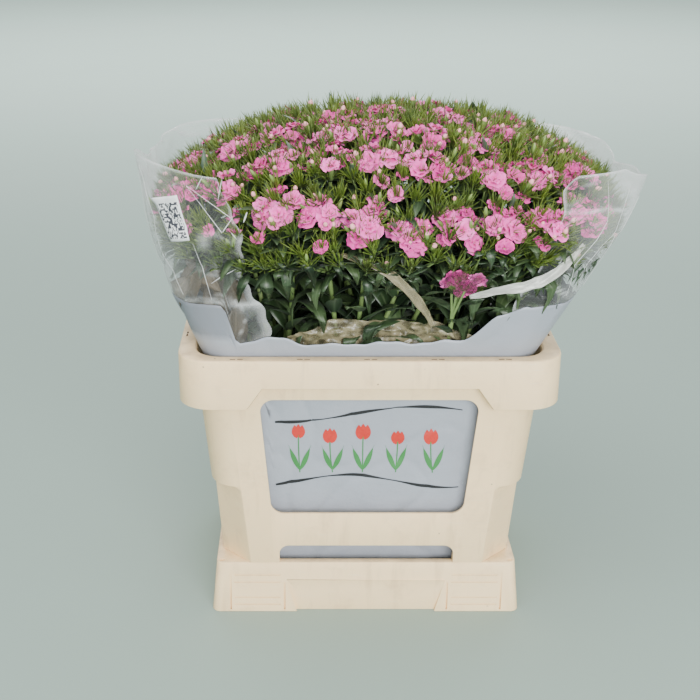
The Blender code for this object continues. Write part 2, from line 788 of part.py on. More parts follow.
def closed_shape(rings, tip=None):
    skin = Skin(rings[0])
    for points in rings[1:]:
        skin.grow(points)
    if tip is None:
        skin.faces.append(tuple(skin.ring))
    else:
        skin.close(tip)
    return skin.points, skin.faces


def nearest_turn(root, ring):
    # How far the ring's list is turned so that each of its points starts from the nearest root point.
    def total(turn):
        return sum((a - b).length for a, b in zip(root, ring[turn:] + ring[:turn]))

    return min(range(len(root)), key=total)


class Clearance:
    # Keeps what is placed already, so that a new blade is only kept where it crosses nothing.
    def __init__(self):
        self.shapes = []

    def add(self, owner, shape):
        low, high = self.bounds(shape[0])
        self.shapes.append((owner, low, high, BVHTree.FromPolygons(shape[0], shape[1])))

    def bounds(self, points):
        low = [min(p[k] for p in points) for k in range(3)]
        high = [max(p[k] for p in points) for k in range(3)]
        return low, high

    def crosses(self, shape, own=()):
        low, high = self.bounds(shape[0])
        tree = None
        for owner, other_low, other_high, other_tree in self.shapes:
            if owner in own:
                continue
            if any(low[k] > other_high[k] or high[k] < other_low[k] for k in range(3)):
                continue
            tree = tree or BVHTree.FromPolygons(shape[0], shape[1])
            if tree.overlap(other_tree):
                return True
        return False


def object_shape(item):
    points = [item.matrix_world @ v.co for v in item.data.vertices]
    return points, [tuple(p.vertices) for p in item.data.polygons]


def keep_outer_skin(mesh):
    # Drops the loose scraps and fills the sealed hollows that a union may leave.
    work = bmesh.new()
    work.from_mesh(mesh)
    left = set(work.faces)
    islands = []
    while left:
        stack = [left.pop()]
        island = set(stack)
        while stack:
            near = {face for edge in stack.pop().edges for face in edge.link_faces} & left
            left -= near
            island |= near
            stack += near
        islands.append(island)
    islands.sort(key=len)
    for island in islands[:-1]:
        bmesh.ops.delete(work, geom=list(island), context="FACES")
    work.to_mesh(mesh)
    work.free()


def fuse(name, shapes, material):
    first = add_object(name, *shapes[0], material)
    others = [add_object(name + "_more", *shape) for shape in shapes[1:]]
    keep_outer_skin(combine(first, others, "UNION", "MANIFOLD").data)


def bloom_faces(low, outer, waist, inner, top):
    # The faces of one bloom, from the corners of the core's side to the middle of the bloom.
    faces = []
    count, petals = len(outer), len(waist)
    for i in range(count):
        j = (i + 1) % count
        here, after = low[i * len(low) // count], low[j * len(low) // count]
        faces.append((here, outer[j], outer[i]))
        if here != after:
            faces.append((here, after, outer[j]))
    for i in range(petals):
        tip, dip, after = outer[2 * i], outer[2 * i + 1], outer[(2 * i + 2) % count]
        here, before = waist[i], waist[i - 1]
        faces += [(tip, dip, here), (dip, after, here), (tip, here, before)]
        faces += [(before, here, inner[i]), (before, inner[i], inner[i - 1]), (inner[i - 1], inner[i], top)]
    return faces


def bloom_shape(points, low, rings):
    # The points so far with the bloom's own after them, and the bloom's faces.
    outer, waist, inner, top = rings
    points = points + outer + waist + inner + [top]
    first = len(points) - 4 * PETALS - 1
    index = list(range(first, len(points)))
    ends = 2 * PETALS, 3 * PETALS
    return points, bloom_faces(low, index[:ends[0]], index[ends[0]:ends[1]], index[ends[1]:-1], index[-1])


def facing_corner(bloom, axis):
    # Which corner of the core's side the second petal point stands over, so that nothing twists.
    right = axis.cross(bloom.face).normalized()
    inward = bloom.face.cross(right)
    spoke = bloom.petal(1) - bloom.middle
    signs = ((1, -1), (1, 1), (-1, 1), (-1, -1))
    return max(range(4), key=lambda k: spoke.dot(right) * signs[k][0] + spoke.dot(inward) * signs[k][1])


def open_bloom(bloom, draw, clearance, points, low):
    # Draws the bloom's petals, smaller at each try, until they cross no other head.
    for attempt in range(TRIES):
        shape = bloom_shape(points, low, bloom.rings(draw))
        if not clearance.crosses(shape):
            break
        bloom.radius *= BLOOM_SHRINK
    return shape


def build_blooms(head, material, clearance):
    # The blooms stand out of the sides of a small core between their feet.
    draw = random.Random(SEED * 2000 + head.number)
    count = len(head.blooms)
    core = head.place - head.axis * CORE_DROP
    turn = head.start - math.pi / count
    points = []
    for lift in (-CORE_TALL, CORE_TALL):
        points += around(core + head.axis * lift, head.axis, CORE_RADIUS, count, turn)
    faces = [tuple(reversed(range(count))), tuple(range(count, 2 * count))]
    for i, bloom in enumerate(head.blooms):
        j = (i + 1) % count
        low = [j, j + count, i + count, i]
        turned = facing_corner(bloom, head.axis)
        points, more = open_bloom(bloom, draw, clearance, points, low[turned:] + low[:turned])
        faces += more
    item = add_object("blooms_%02d" % (head.number + 1), points, faces, material)
    clearance.add(item.name, (points, faces))


class Branch:
    # One branch of a stem: its leaves in pairs, its knob, and what the knob carries.
    def __init__(self, name, start, head, draw, sway):
        self.name, self.start, self.head, self.draw, self.sway = name, start, head, draw, sway
        self.turn = draw.uniform(0, math.pi / 2)
        self.leaf_faces = []
        self.raised = Clearance()
        self.skin = Skin(around(start, Vector((0, 0, 1)), STEM_RADIUS[0], STEM_SIDES, self.turn))
        self.grow_ring(STEM_BEND, self.turn, 1.0)
        for share, sides in LEAF_NODES:
            self.grow_node(share, sides)
        self.grow_knob()
        self.raised.add(name, (list(self.skin.points), list(self.skin.faces)))

    def path(self, share):
        # Up from the fork, then over towards the head, which it meets from straight below.
        end = self.head.knob
        reach = end.z - self.start.z
        first = self.start + self.sway + Vector((0, 0, reach * STEM_RISE))
        second = end + self.sway - self.head.axis * reach * STEM_LEAD
        t, u = share, 1 - share
        place = self.start * u ** 3 + first * 3 * t * u * u + second * 3 * t * t * u + end * t ** 3
        ahead = (first - self.start) * u * u + (second - first) * 2 * t * u + (end - second) * t * t
        return place, ahead.normalized()

    def grow_ring(self, share, turn, swell):
        place, ahead = self.path(share)
        radius = blend(STEM_RADIUS[0], STEM_RADIUS[1], share) * swell
        self.skin.grow(around(place, ahead, radius, STEM_SIDES, turn))

    def grow_node(self, share, sides):
        # A swollen node: two rings close together, whose sides can carry leaves.
        self.turn += self.draw.uniform(-NODE_TWIST, NODE_TWIST)
        half = NODE_HALF / (self.head.knob - self.start).length
        self.grow_ring(share - half, self.turn, NODE_SWELL)
        self.grow_ring(share + half, self.turn, NODE_SWELL)
        self.leaf_faces += [self.skin.side_face(side) for side in sides]

    def grow_knob(self):
        base, axis = self.head.knob, self.head.axis
        turn = self.turn - math.pi / KNOB_SIDES
        bands = []
        for lift, radius in KNOB_ROWS:
            turn += math.pi / KNOB_SIDES
            bands.append(self.skin.grow(around(base + axis * lift, axis, radius, KNOB_SIDES, turn)))
        bands.append(self.skin.close(base + axis * KNOB_TOP))
        self.bract_faces = [(face, BRACT_LIFTS[i]) for i, band in enumerate(bands[1:]) for face in band]

    def keep(self, clearance, face, rings, tip=None):
        # Raises a face where it crosses nothing: a free part of it is also held against its own branch.
        root = [self.skin.points[i] for i in face]
        turn = nearest_turn(root, rings[0]) if rings else 0
        rings = [ring[turn:] + ring[:turn] for ring in rings]
        whole = closed_shape([root] + rings, tip)
        end = tip or sum(rings[-1], Vector()) / len(root)
        free = closed_shape([[point.lerp(end, FREE_SHARE) for point in root]] + rings, tip)
        if clearance.crosses(whole, [self.name]) or self.raised.crosses(free):
            return False
        self.skin.raise_rings(face, rings, tip)
        clearance.add(self.name, whole)
        self.raised.add(self.name, free)
        return True

    def raise_tubes(self, clearance):
        # A green tube up to each bloom, from the free face that points nearest to it.
        skin, base = self.skin, self.head.knob
        for bloom in self.head.blooms:
            towards = bloom.foot - base
            pick = max(self.bract_faces, key=lambda entry: (skin.middle(entry[0]) - base).dot(towards))
            self.bract_faces.remove(pick)
            face = pick[0]
            first, second = across(bloom.face)
            spoke = skin.points[face[0]] - skin.middle(face)
            angle = math.atan2(spoke.dot(second), spoke.dot(first))
            for attempt in range(TRIES):
                tip = bloom.foot - bloom.face * CALYX_STEP * (attempt + 0.5)
                end = around(tip, bloom.face, CALYX_RADIUS, 3, angle)
                if self.keep(clearance, face, [end]):
                    break

    def raise_bracts(self, clearance):
        skin, head = self.skin, self.head
        for face, lifts in self.bract_faces:
            if self.draw.random() < BRACT_SKIP:
                continue
            root = skin.middle(face)
            out = root - head.knob
            out = (out - head.axis * out.dot(head.axis)).normalized()
            for attempt in range(TRIES):
                heading = (out + head.axis * self.draw.uniform(*lifts)).normalized()
                tip = root + heading * self.draw.uniform(*BRACT_LENGTH)
                if self.keep(clearance, face, [], tip):
                    break

    def raise_leaves(self, clearance):
        skin = self.skin
        for face in self.leaf_faces:
            root = skin.middle(face)
            out = (skin.points[face[1]] - skin.points[face[0]]).cross(Vector((0, 0, 1)))
            out = Vector((out.x, out.y, 0)).normalized()
            for attempt in range(TRIES):
                swing = Matrix.Rotation(self.draw.uniform(-LEAF_SWING, LEAF_SWING), 3, "Z")
                heading = (swing @ out + Vector((0, 0, self.draw.uniform(*LEAF_RISE)))).normalized()
                shorten = 1 - LEAF_SHORTEN * attempt / TRIES
                length = self.draw.uniform(*LEAF_LENGTH) * shorten
                half = self.draw.uniform(*LEAF_HALF) * shorten
                rings, tip = leaf_rings(root, heading, length, half, length * LEAF_DROOP)
                if self.keep(clearance, face, rings, tip):
                    break


def grow_branch(name, start, head, draw, clearance, own):
    # Bent clear of what stands already, further at each try.
    for attempt in range(STEM_TRIES):
        sway = Vector((draw.uniform(-1, 1), draw.uniform(-1, 1), 0)) * STEM_SWAY * attempt / STEM_TRIES
        branch = Branch(name, start, head, draw, sway)
        shape = (list(branch.skin.points), list(branch.skin.faces))
        if not clearance.crosses(shape, own):
            break
    clearance.add(name, shape)
    return branch


def grow_branches(heads, clearance):
    # The trunks and bare branches come first, so that blades can be kept clear of them all.
    trunks = {name: trunk_shape(foot, len(places)) for name, (foot, places) in BUNCHES.items()}
    for name, trunk in trunks.items():
        clearance.add(name, trunk)
    branches = {}
    for number, (name, (foot, places)) in enumerate(BUNCHES.items()):
        draw = random.Random(SEED * 3000 + number)
        own = [name] + ["%s_%d" % (name, index) for index in range(len(places))]
        branches[name] = []
        for index, head in enumerate(heads[name]):
            start = Vector((foot[0], foot[1], FORK_START + FORK_STEP * index))
            branches[name].append(grow_branch(own[index + 1], start, head, draw, clearance, own))
    return trunks, branches


def trunk_shape(foot, forks):
    # The cut stems of a bunch stand together as one stalk, from near the floor to the last fork.
    rings = []
    for z in (STEM_FOOT, STEM_FOOT + FORK_START + FORK_STEP * forks):
        rings.append(around(Vector((foot[0], foot[1], z)), Vector((0, 0, 1)), TRUNK_RADIUS, TRUNK_SIDES))
    return closed_shape(rings)


def build_flowers(materials, fixed):
    heads = list_heads()
    clearance = Clearance()
    for item in fixed:
        clearance.add(item.name, object_shape(item))
    for bunch in heads.values():
        for head in bunch:
            build_blooms(head, materials["petal"], clearance)
    trunks, branches = grow_branches(heads, clearance)
    everything = [branch for bunch in branches.values() for branch in bunch]
    for branch in everything:
        branch.raise_tubes(clearance)
    for branch in everything:
        branch.raise_leaves(clearance)
    for branch in everything:
        branch.raise_bracts(clearance)
    for name, bunch in branches.items():
        shapes = [trunks[name]] + [(branch.skin.points, branch.skin.faces) for branch in bunch]
        fuse("stems_" + name, shapes, materials["leaf"])


def main():
    clear_scene()
    materials = {name: make_material(name) for name in COLOURS}
    tray = build_tray(materials["cream"])
    collar = build_collar(materials["cream"])
    build_water(materials["water"])
    white = build_white_film(materials["white_film"])
    clear = build_clear_film(materials["clear_film"])
    build_label(materials["label"])
    scrap = build_scrap(materials["brown_film"])
    build_flowers(materials, [tray, collar, white, clear, scrap])


main()
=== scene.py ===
import math
import random

import bmesh
import bpy
import numpy as np
from mathutils import Matrix, Vector, noise


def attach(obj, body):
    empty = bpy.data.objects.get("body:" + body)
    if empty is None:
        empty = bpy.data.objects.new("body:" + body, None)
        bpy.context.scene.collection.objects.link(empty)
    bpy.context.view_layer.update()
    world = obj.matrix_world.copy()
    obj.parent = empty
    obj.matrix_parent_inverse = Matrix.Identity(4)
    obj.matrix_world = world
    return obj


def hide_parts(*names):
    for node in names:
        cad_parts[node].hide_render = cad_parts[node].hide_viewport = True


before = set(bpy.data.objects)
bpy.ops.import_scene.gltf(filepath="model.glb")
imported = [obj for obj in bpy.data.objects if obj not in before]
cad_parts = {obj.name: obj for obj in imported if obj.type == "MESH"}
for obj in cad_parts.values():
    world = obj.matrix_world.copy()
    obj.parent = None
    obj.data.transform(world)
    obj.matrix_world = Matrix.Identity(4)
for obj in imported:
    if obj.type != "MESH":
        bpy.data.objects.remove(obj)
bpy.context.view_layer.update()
print("frame loaded,", len(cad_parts), "nodes")


# Small helpers

def blend(low, high, share):
    return low + (high - low) * share


def smooth(low, high, value):
    share = min(max((value - low) / (high - low), 0.0), 1.0)
    return share * share * (3 - 2 * share)


def addObject(name, data):
    piece = bpy.data.objects.new(name, data)
    bpy.context.scene.collection.objects.link(piece)
    return piece


def addPiece(name, points, faces, finish=None, smoothShade=True):
    mesh = bpy.data.meshes.new(name)
    mesh.from_pydata([tuple(point) for point in points], [], faces)
    mesh.update()
    if smoothShade:
        mesh.shade_smooth()
    if finish:
        mesh.materials.append(finish)
    return addObject(name, mesh)


def setValues(piece, name, values):
    piece.data.attributes.new(name, "FLOAT", "POINT").data.foreach_set("value", values)


def finalMesh(piece):
    # the shape with its modifiers applied, as a plain mesh
    bpy.context.view_layer.update()
    graph = bpy.context.evaluated_depsgraph_get()
    return bpy.data.meshes.new_from_object(piece.evaluated_get(graph),
                                           preserve_all_data_layers=True, depsgraph=graph)


def bakeModifiers(piece):
    mesh = finalMesh(piece)
    piece.modifiers.clear()
    piece.data = mesh
    mesh.name = piece.name
    return piece


def thicken(piece, thickness):
    step = piece.modifiers.new("body", "SOLIDIFY")
    step.thickness = thickness
    step.offset = -1.0
    return bakeModifiers(piece)


def across(axis):
    first = axis.cross(Vector((0, 1, 0)))
    if first.length < 0.1:
        first = axis.cross(Vector((1, 0, 0)))
    first.normalize()
    return first, axis.cross(first).normalized()


def around(first, second, angle):
    return first * math.cos(angle) + second * math.sin(angle)


def turnTo(aim, lift):
    # rotation that lays a shape's +Y along aim, with its +Z as near to lift as it goes
    along = aim.normalized()
    right = along.cross(lift).normalized()
    up = right.cross(along)
    return Matrix((right, along, up)).transposed().to_euler()


# Node helpers for the finishes

def newFinish(name, roughness=0.5):
    finish = bpy.data.materials.new(name)
    finish.use_nodes = True
    shader = finish.node_tree.nodes["Principled BSDF"]
    shader.inputs["Roughness"].default_value = roughness
    return finish, finish.node_tree, shader


def addNode(tree, kind, values=None, **settings):
    node = tree.nodes.new(kind)
    for key, value in settings.items():
        setattr(node, key, value)
    for key, value in (values or {}).items():
        node.inputs[key].default_value = value
    return node


def noiseOf(tree, vector, scale, detail=4.0, stretch=None, rough=0.5):
    if stretch:
        mapping = addNode(tree, "ShaderNodeMapping", {"Scale": stretch})
        tree.links.new(vector, mapping.inputs["Vector"])
        vector = mapping.outputs[0]
    node = addNode(tree, "ShaderNodeTexNoise", {"Scale": scale, "Detail": detail, "Roughness": rough})
    tree.links.new(vector, node.inputs["Vector"])
    return node.outputs["Fac"]


def remap(tree, value, low, high, toLow=0.0, toHigh=1.0):
    node = addNode(tree, "ShaderNodeMapRange",
                   {"From Min": low, "From Max": high, "To Min": toLow, "To Max": toHigh})
    tree.links.new(value, node.inputs["Value"])
    return node.outputs["Result"]


def mixColour(tree, share, first, second):
    node = addNode(tree, "ShaderNodeMix", data_type="RGBA")
    for key, value in ((0, share), (6, first), (7, second)):
        if isinstance(value, (tuple, float, int)):
            node.inputs[key].default_value = (*value, 1.0) if isinstance(value, tuple) else value
        else:
            tree.links.new(value, node.inputs[key])
    return node.outputs[2]


def doMath(tree, operation, first, second=0.0):
    node = addNode(tree, "ShaderNodeMath", operation=operation)
    for key, value in ((0, first), (1, second)):
        if isinstance(value, (float, int)):
            node.inputs[key].default_value = value
        else:
            tree.links.new(value, node.inputs[key])
    return node.outputs[0]


def addBump(tree, shader, height, strength, distance):
    bump = addNode(tree, "ShaderNodeBump", {"Strength": strength, "Distance": distance})
    tree.links.new(height, bump.inputs["Height"])
    tree.links.new(bump.outputs[0], shader.inputs["Normal"])


def paint(tree, shader, colour):
    tree.links.new(colour, shader.inputs["Base Color"])


def objectCoords(tree):
    return addNode(tree, "ShaderNodeTexCoord").outputs["Object"]


def attributeOf(tree, name, output="Fac"):
    return addNode(tree, "ShaderNodeAttribute", attribute_name=name).outputs[output]


# Camera, floor and light

viewSettings = {
    "place": (-0.070, -1.5379, 0.898),
    "pitch": 21.29,
    "lens": 66.14,
    "shift": 0.0571,
    "floorColour": (0.250, 0.330, 0.298),
    "skyColour": (0.86, 0.90, 0.88),
    "skyStrength": 1.05,
    "keyPower": 30.0,
    "fillPower": 92.0,
    "farPower": 430.0,
    "floorHalf": 30.0,
}


def addCamera():
    camera = addObject("camera", bpy.data.cameras.new("camera"))
    camera.location = viewSettings["place"]
    camera.rotation_euler = (math.radians(90 - viewSettings["pitch"]), 0, 0)
    camera.data.sensor_width = 36.0
    camera.data.lens = viewSettings["lens"]
    camera.data.shift_x = viewSettings["shift"]
    bpy.context.scene.camera = camera


def addLamp(name, place, aim, size, power, colour=(1, 1, 1)):
    lamp = bpy.data.lights.new(name, "AREA")
    lamp.shape = "RECTANGLE"
    lamp.size, lamp.size_y = size
    lamp.energy = power
    lamp.color = colour
    holder = addObject(name, lamp)
    holder.location = place
    holder.rotation_euler = (Vector(aim) - Vector(place)).to_track_quat("-Z", "Y").to_euler()


def addStudio():
    finish, tree, shader = newFinish("floorPaint", 0.85)
    grain = noiseOf(tree, objectCoords(tree), 3.0, 3.0)
    colour = viewSettings["floorColour"]
    lighter = tuple(value * 1.04 for value in colour)
    paint(tree, shader, mixColour(tree, grain, colour, lighter))
    size = viewSettings["floorHalf"]
    floor = addPiece("floor", [(-size, -size, 0), (size, -size, 0), (size, size, 0), (-size, size, 0)],
                     [(0, 1, 2, 3)], finish)
    world = bpy.data.worlds.new("studio")
    world.use_nodes = True
    sky = world.node_tree.nodes["Background"]
    sky.inputs["Color"].default_value = (*viewSettings["skyColour"], 1)
    sky.inputs["Strength"].default_value = viewSettings["skyStrength"]
    bpy.context.scene.world = world
    addLamp("topSoftbox", (-0.35, -0.65, 2.1), (0.0, -0.05, 0.30), (1.5, 1.2), viewSettings["keyPower"],
            (1.0, 0.985, 0.96))
    addLamp("frontSoftbox", (0.5, -2.4, 0.95), (0.0, 0.0, 0.28), (1.6, 1.1), viewSettings["fillPower"])
    addLamp("farSoftbox", (0.0, 4.6, 2.8), (0.0, 4.9, 0.0), (6.0, 3.0), viewSettings["farPower"])


addCamera()
addStudio()
print("camera, floor and light")


# Copies of small shapes: each place is (point, turn, size, kind, tint); on petals the tint is their colour,
# on leaves, needles and calyxes it is painted shading

def newGroup(name, inputs):
    tree = bpy.data.node_groups.new(name, "GeometryNodeTree")
    for key, kind in inputs.items():
        tree.interface.new_socket(name=key, in_out="INPUT", socket_type="NodeSocket" + kind)
    tree.interface.new_socket(name="Geometry", in_out="OUTPUT", socket_type="NodeSocketGeometry")
    return tree, tree.nodes.new("NodeGroupInput"), tree.nodes.new("NodeGroupOutput")


def linkAll(tree, links):
    for start, output, end, entry in links:
        tree.links.new(start.outputs[output], end.inputs[entry])


def copiesTree():
    tree, start, end = newGroup("placeCopies", {
        "Geometry": "Geometry", "Shapes": "Collection", "Vary": "Float", "Seed": "Int",
        "Finish": "Material"})
    turn, size, kind = (
        addNode(tree, "GeometryNodeInputNamedAttribute", {"Name": name}, data_type=data)
        for name, data in (("turn", "FLOAT_VECTOR"), ("size", "FLOAT_VECTOR"), ("kind", "INT")))
    rotation = addNode(tree, "FunctionNodeEulerToRotation")
    shapes = addNode(tree, "GeometryNodeCollectionInfo",
                     {"Separate Children": True, "Reset Children": True})
    low = addNode(tree, "ShaderNodeMath", {0: 1.0}, operation="SUBTRACT")
    high = addNode(tree, "ShaderNodeMath", {0: 1.0}, operation="ADD")
    vary = addNode(tree, "FunctionNodeRandomValue", data_type="FLOAT")
    scale = addNode(tree, "ShaderNodeVectorMath", operation="SCALE")
    copies = addNode(tree, "GeometryNodeInstanceOnPoints", {"Pick Instance": True})
    realize = addNode(tree, "GeometryNodeRealizeInstances")
    finish = addNode(tree, "GeometryNodeSetMaterial")
    linkAll(tree, (
        (start, "Vary", low, 1), (start, "Vary", high, 1), (low, 0, vary, 2), (high, 0, vary, 3),
        (start, "Seed", vary, "Seed"), (size, 0, scale, 0), (vary, 1, scale, "Scale"),
        (turn, 0, rotation, 0), (start, "Shapes", shapes, 0), (start, "Geometry", copies, "Points"),
        (shapes, 0, copies, "Instance"), (kind, 0, copies, "Instance Index"),
        (rotation, 0, copies, "Rotation"), (scale, 0, copies, "Scale"), (copies, 0, realize, 0),
        (realize, 0, finish, "Geometry"), (start, "Finish", finish, "Material"), (finish, 0, end, 0)))
    return tree


def setInputs(modifier, values):
    for item in modifier.node_group.interface.items_tree:
        if item.item_type == "SOCKET" and item.in_out == "INPUT" and item.name in values:
            modifier[item.identifier] = values[item.name]


def placeCopies(name, places, shapes, finish, vary=0.08, seed=1):
    group = bpy.data.collections.new(name + "Shapes")
    for shape in shapes:
        for user in list(shape.users_collection):
            user.objects.unlink(shape)
        group.objects.link(shape)
    piece = addPiece(name, [place[0] for place in places], [])
    for label, kind, key, index in (("turn", "FLOAT_VECTOR", "vector", 1),
                                    ("size", "FLOAT_VECTOR", "vector", 2),
                                    ("kind", "INT", "value", 3), ("tint", "FLOAT", "value", 4)):
        values = [tuple(place[index]) if key == "vector" else place[index] for place in places]
        data = piece.data.attributes.new(label, kind, "POINT").data
        data.foreach_set(key, np.array(values).ravel())
    step = piece.modifiers.new("copies", "NODES")
    step.node_group = trees["copies"]
    setInputs(step, {"Shapes": group, "Vary": vary, "Seed": seed, "Finish": finish})
    bakeModifiers(piece)
    for shape in shapes:
        bpy.data.objects.remove(shape)
    bpy.data.collections.remove(group)
    piece.data.shade_smooth()
    return piece


def gridFaces(columns, rows, closed=False):
    faces = []
    for row in range(rows - 1):
        for column in range(columns if closed else columns - 1):
            after = (column + 1) % columns
            faces.append((row * columns + column, row * columns + after,
                          (row + 1) * columns + after, (row + 1) * columns + column))
    return faces


tubeSides = 7


def tubesTree():
    # sweeps a round section along every spline, as thick as the spline's own radius
    tree, start, end = newGroup("sweepTubes", {"Geometry": "Geometry", "Finish": "Material"})
    circle = addNode(tree, "GeometryNodeCurvePrimitiveCircle", {"Resolution": tubeSides, "Radius": 1.0})
    radius = addNode(tree, "GeometryNodeInputRadius")
    sweep = addNode(tree, "GeometryNodeCurveToMesh", {"Fill Caps": True})
    finish = addNode(tree, "GeometryNodeSetMaterial")
    paintedShading = addNode(tree, "GeometryNodeSetShadeSmooth")
    realize = addNode(tree, "GeometryNodeRealizeInstances")
    linkAll(tree, (
        (start, "Geometry", sweep, "Curve"), (circle, 0, sweep, "Profile Curve"),
        (radius, 0, sweep, "Scale"), (sweep, 0, paintedShading, "Geometry"), (paintedShading, 0, realize, 0),
        (realize, 0, finish, "Geometry"), (start, "Finish", finish, "Material"), (finish, 0, end, 0)))
    return tree


def sweepTubes(name, paths, finish):
    # each path is a list of (point, radius)
    curve = bpy.data.curves.new(name, "CURVE")
    curve.dimensions = "3D"
    for path in paths:
        spline = curve.splines.new("POLY")
        spline.points.add(len(path) - 1)
        for point, (place, radius) in zip(spline.points, path):
            point.co = (*place, 1.0)
            point.radius = radius
    guide = addObject(name + "Guide", curve)
    step = guide.modifiers.new("tubes", "NODES")
    step.node_group = trees["tubes"]
    setInputs(step, {"Finish": finish})
    mesh = finalMesh(guide)
    bpy.data.objects.remove(guide)
    mesh.name = name
    if not mesh.materials:
        mesh.materials.append(finish)
    return addObject(name, mesh)


trees = {"copies": copiesTree(), "tubes": tubesTree()}


# Container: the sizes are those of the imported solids

trayForm = {
    "footHalf": (0.1930, 0.1435), "topHalf": (0.1865, 0.1380), "height": 0.0680, "rim": 0.0100,
    "floor": 0.0065, "corner": 0.0100, "cavityTaper": 0.0040, "cavityChamfer": 0.0340,
    "pocketDepth": 0.0050, "pocketTop": 0.0440, "pocketLedge": 0.0280, "pocketTopHalf": 0.0995,
    "pocketFootHalf": 0.0845, "padSpan": (0.1070, 0.1650), "padGrooves": (0.0105, 0.0200, 0.0410, 0.0510),
    "grooveWidth": 0.0022, "grooveDepth": 0.0010, "grooveReach": 0.003, "edge": 0.0012,
    "uprights": ((0.1020, 0.0410), (0.1695, 0.0560)), "uprightFoot": 0.0028,
    "holePlace": (0.1800, 0.1315), "holeHalf": (0.0032, 0.0022), "holeDepth": 0.003,
}
collarForm = {
    "rimHalf": (0.2250, 0.1675), "rimTop": 0.3500, "rimCorner": 0.0400, "apronMiddle": 0.3155,
    "apronCorner": 0.2890, "earStart": 0.0990, "earEnd": 0.0805, "wall": 0.0030, "flange": 0.0045,
    "wallTopHalf": (0.2075, 0.1542), "stepHalf": (0.1915, 0.1450), "chamferTopHalf": (0.1865, 0.1446),
    "footHalf": (0.1795, 0.1388), "stepHigh": 0.1770, "stepLow": 0.1710, "wallCorner": 0.0370,
    "chamferTop": 0.0330, "chamferFoot": 0.0360, "plugDepth": 0.0160, "plugGap": 0.0006, "plugTop": 0.0750,
    "windowTop": 0.2945, "windowFoot": 0.1395, "windowTopHalf": 0.1290, "windowFootHalf": 0.1183,
    "windowCorner": 0.0160, "sideCut": 0.0575, "notchTop": 0.0932, "notchHalf": 0.1080,
    "notchCorner": 0.0120, "edge": 0.0012, "gap": 0.0003, "slotSize": (0.0065, 0.0022, 0.0014),
    "slotPairs": (5, 3), "slotInset": (0.0060, 0.0065), "slotPitch": 0.0775, "slotSpacing": 0.0085,
    "notchFoot": 0.036,
}
cornerSteps = 9
bevelAngle, sharpAngle = math.radians(28), math.radians(35)


def shifted(half, amount):
    return tuple(value + amount for value in half)


def ringOf(half, corner, height, chamfer=False, marks=None, markHeight=None):
    points = []
    for side in range(4):
        turn = Matrix.Rotation(side * math.pi / 2, 3, "Z")
        along, out = half if side % 2 == 0 else (half[1], half[0])
        flat = []
        for step in range(cornerSteps + 1):
            share = step / cornerSteps
            angle = math.pi * (1 + share / 2)
            if chamfer:
                flat.append((-along + corner * share, -out + corner * (1 - share), height))
            else:
                flat.append((-along + corner * (1 + math.cos(angle)), -out + corner * (1 + math.sin(angle)),
                             height))
        if marks:
            rim = collarForm["rimHalf"][side % 2]
            near, far = ((rim - mark) * along / rim for mark in marks)
            middle = height if markHeight is None else markHeight
            flat += [(-near, -out, height), (-far, -out, middle), (far, -out, middle), (near, -out, height)]
        points += [turn @ Vector(point) for point in flat]
    return points


def loftRings(name, rings, closed=False):
    count = len(rings[0])
    points = [point for one in rings for point in one]
    faces = gridFaces(count, len(rings), True)
    if closed:
        last = (len(rings) - 1) * count
        faces += [(last + i, last + (i + 1) % count, (i + 1) % count, i) for i in range(count)]
    else:
        faces += [tuple(reversed(range(count))), tuple(range((len(rings) - 1) * count, len(rings) * count))]
    return addPiece(name, points, faces)


def cutAway(piece, cutters, keepFinish=False):
    group = bpy.data.collections.new(piece.name + "Cutters")
    for cutter in cutters:
        bpy.context.scene.collection.objects.unlink(cutter)
        group.objects.link(cutter)
    step = piece.modifiers.new("cut", "BOOLEAN")
    step.operand_type = "COLLECTION"
    step.collection = group
    step.operation = "DIFFERENCE"
    step.solver = "EXACT"
    if keepFinish:
        step.material_mode = "TRANSFER"
    bakeModifiers(piece)
    for cutter in cutters:
        bpy.data.objects.remove(cutter)
    bpy.data.collections.remove(group)


def easeEdges(piece, width):
    # small round edges, with smooth shading between them
    step = piece.modifiers.new("edges", "BEVEL")
    step.limit_method = "ANGLE"
    step.angle_limit = bevelAngle
    step.width = width
    step.segments = 2
    step.miter_outer = "MITER_ARC"
    bakeModifiers(piece)
    piece.data.set_sharp_from_angle(angle=sharpAngle)


def prismFaces(count):
    sides = [(i, i + count, (i + 1) % count + count, (i + 1) % count) for i in range(count)]
    return [tuple(range(count)), tuple(reversed(range(count, 2 * count)))] + sides


def prismOf(outline, place, depth):
    points = [place(x, -depth, z) for x, z in outline] + [place(x, depth, z) for x, z in outline]
    return addPiece("cutter", points, prismFaces(len(outline)), smoothShade=False)


def boxOf(low, high):
    points = [(x, y, z) for x in (low[0], high[0]) for y in (low[1], high[1]) for z in (low[2], high[2])]
    faces = [(0, 1, 3, 2), (4, 6, 7, 5), (0, 4, 5, 1), (2, 3, 7, 6), (0, 2, 6, 4), (1, 5, 7, 3)]
    return addPiece("cutter", points, faces, smoothShade=False)


def roundedOutline(topHalf, footHalf, low, high, topCorner, footCorner):
    outline = []
    for x, z, corner, start in ((footHalf, low, footCorner, -90), (topHalf, high, topCorner, 0),
                                (-topHalf, high, topCorner, 90), (-footHalf, low, footCorner, 180)):
        if corner == 0:
            outline.append((x, z))
            continue
        middleX = x - math.copysign(corner, x)
        middleZ = z + corner if z == low else z - corner
        for step in range(cornerSteps):
            angle = math.radians(start + 90 * step / (cornerSteps - 1))
            outline.append((middleX + corner * math.cos(angle), middleZ + corner * math.sin(angle)))
    return outline


def acrossY(x, y, z):
    return (x, y, z)


def acrossX(x, y, z):
    return (-y, x, z)


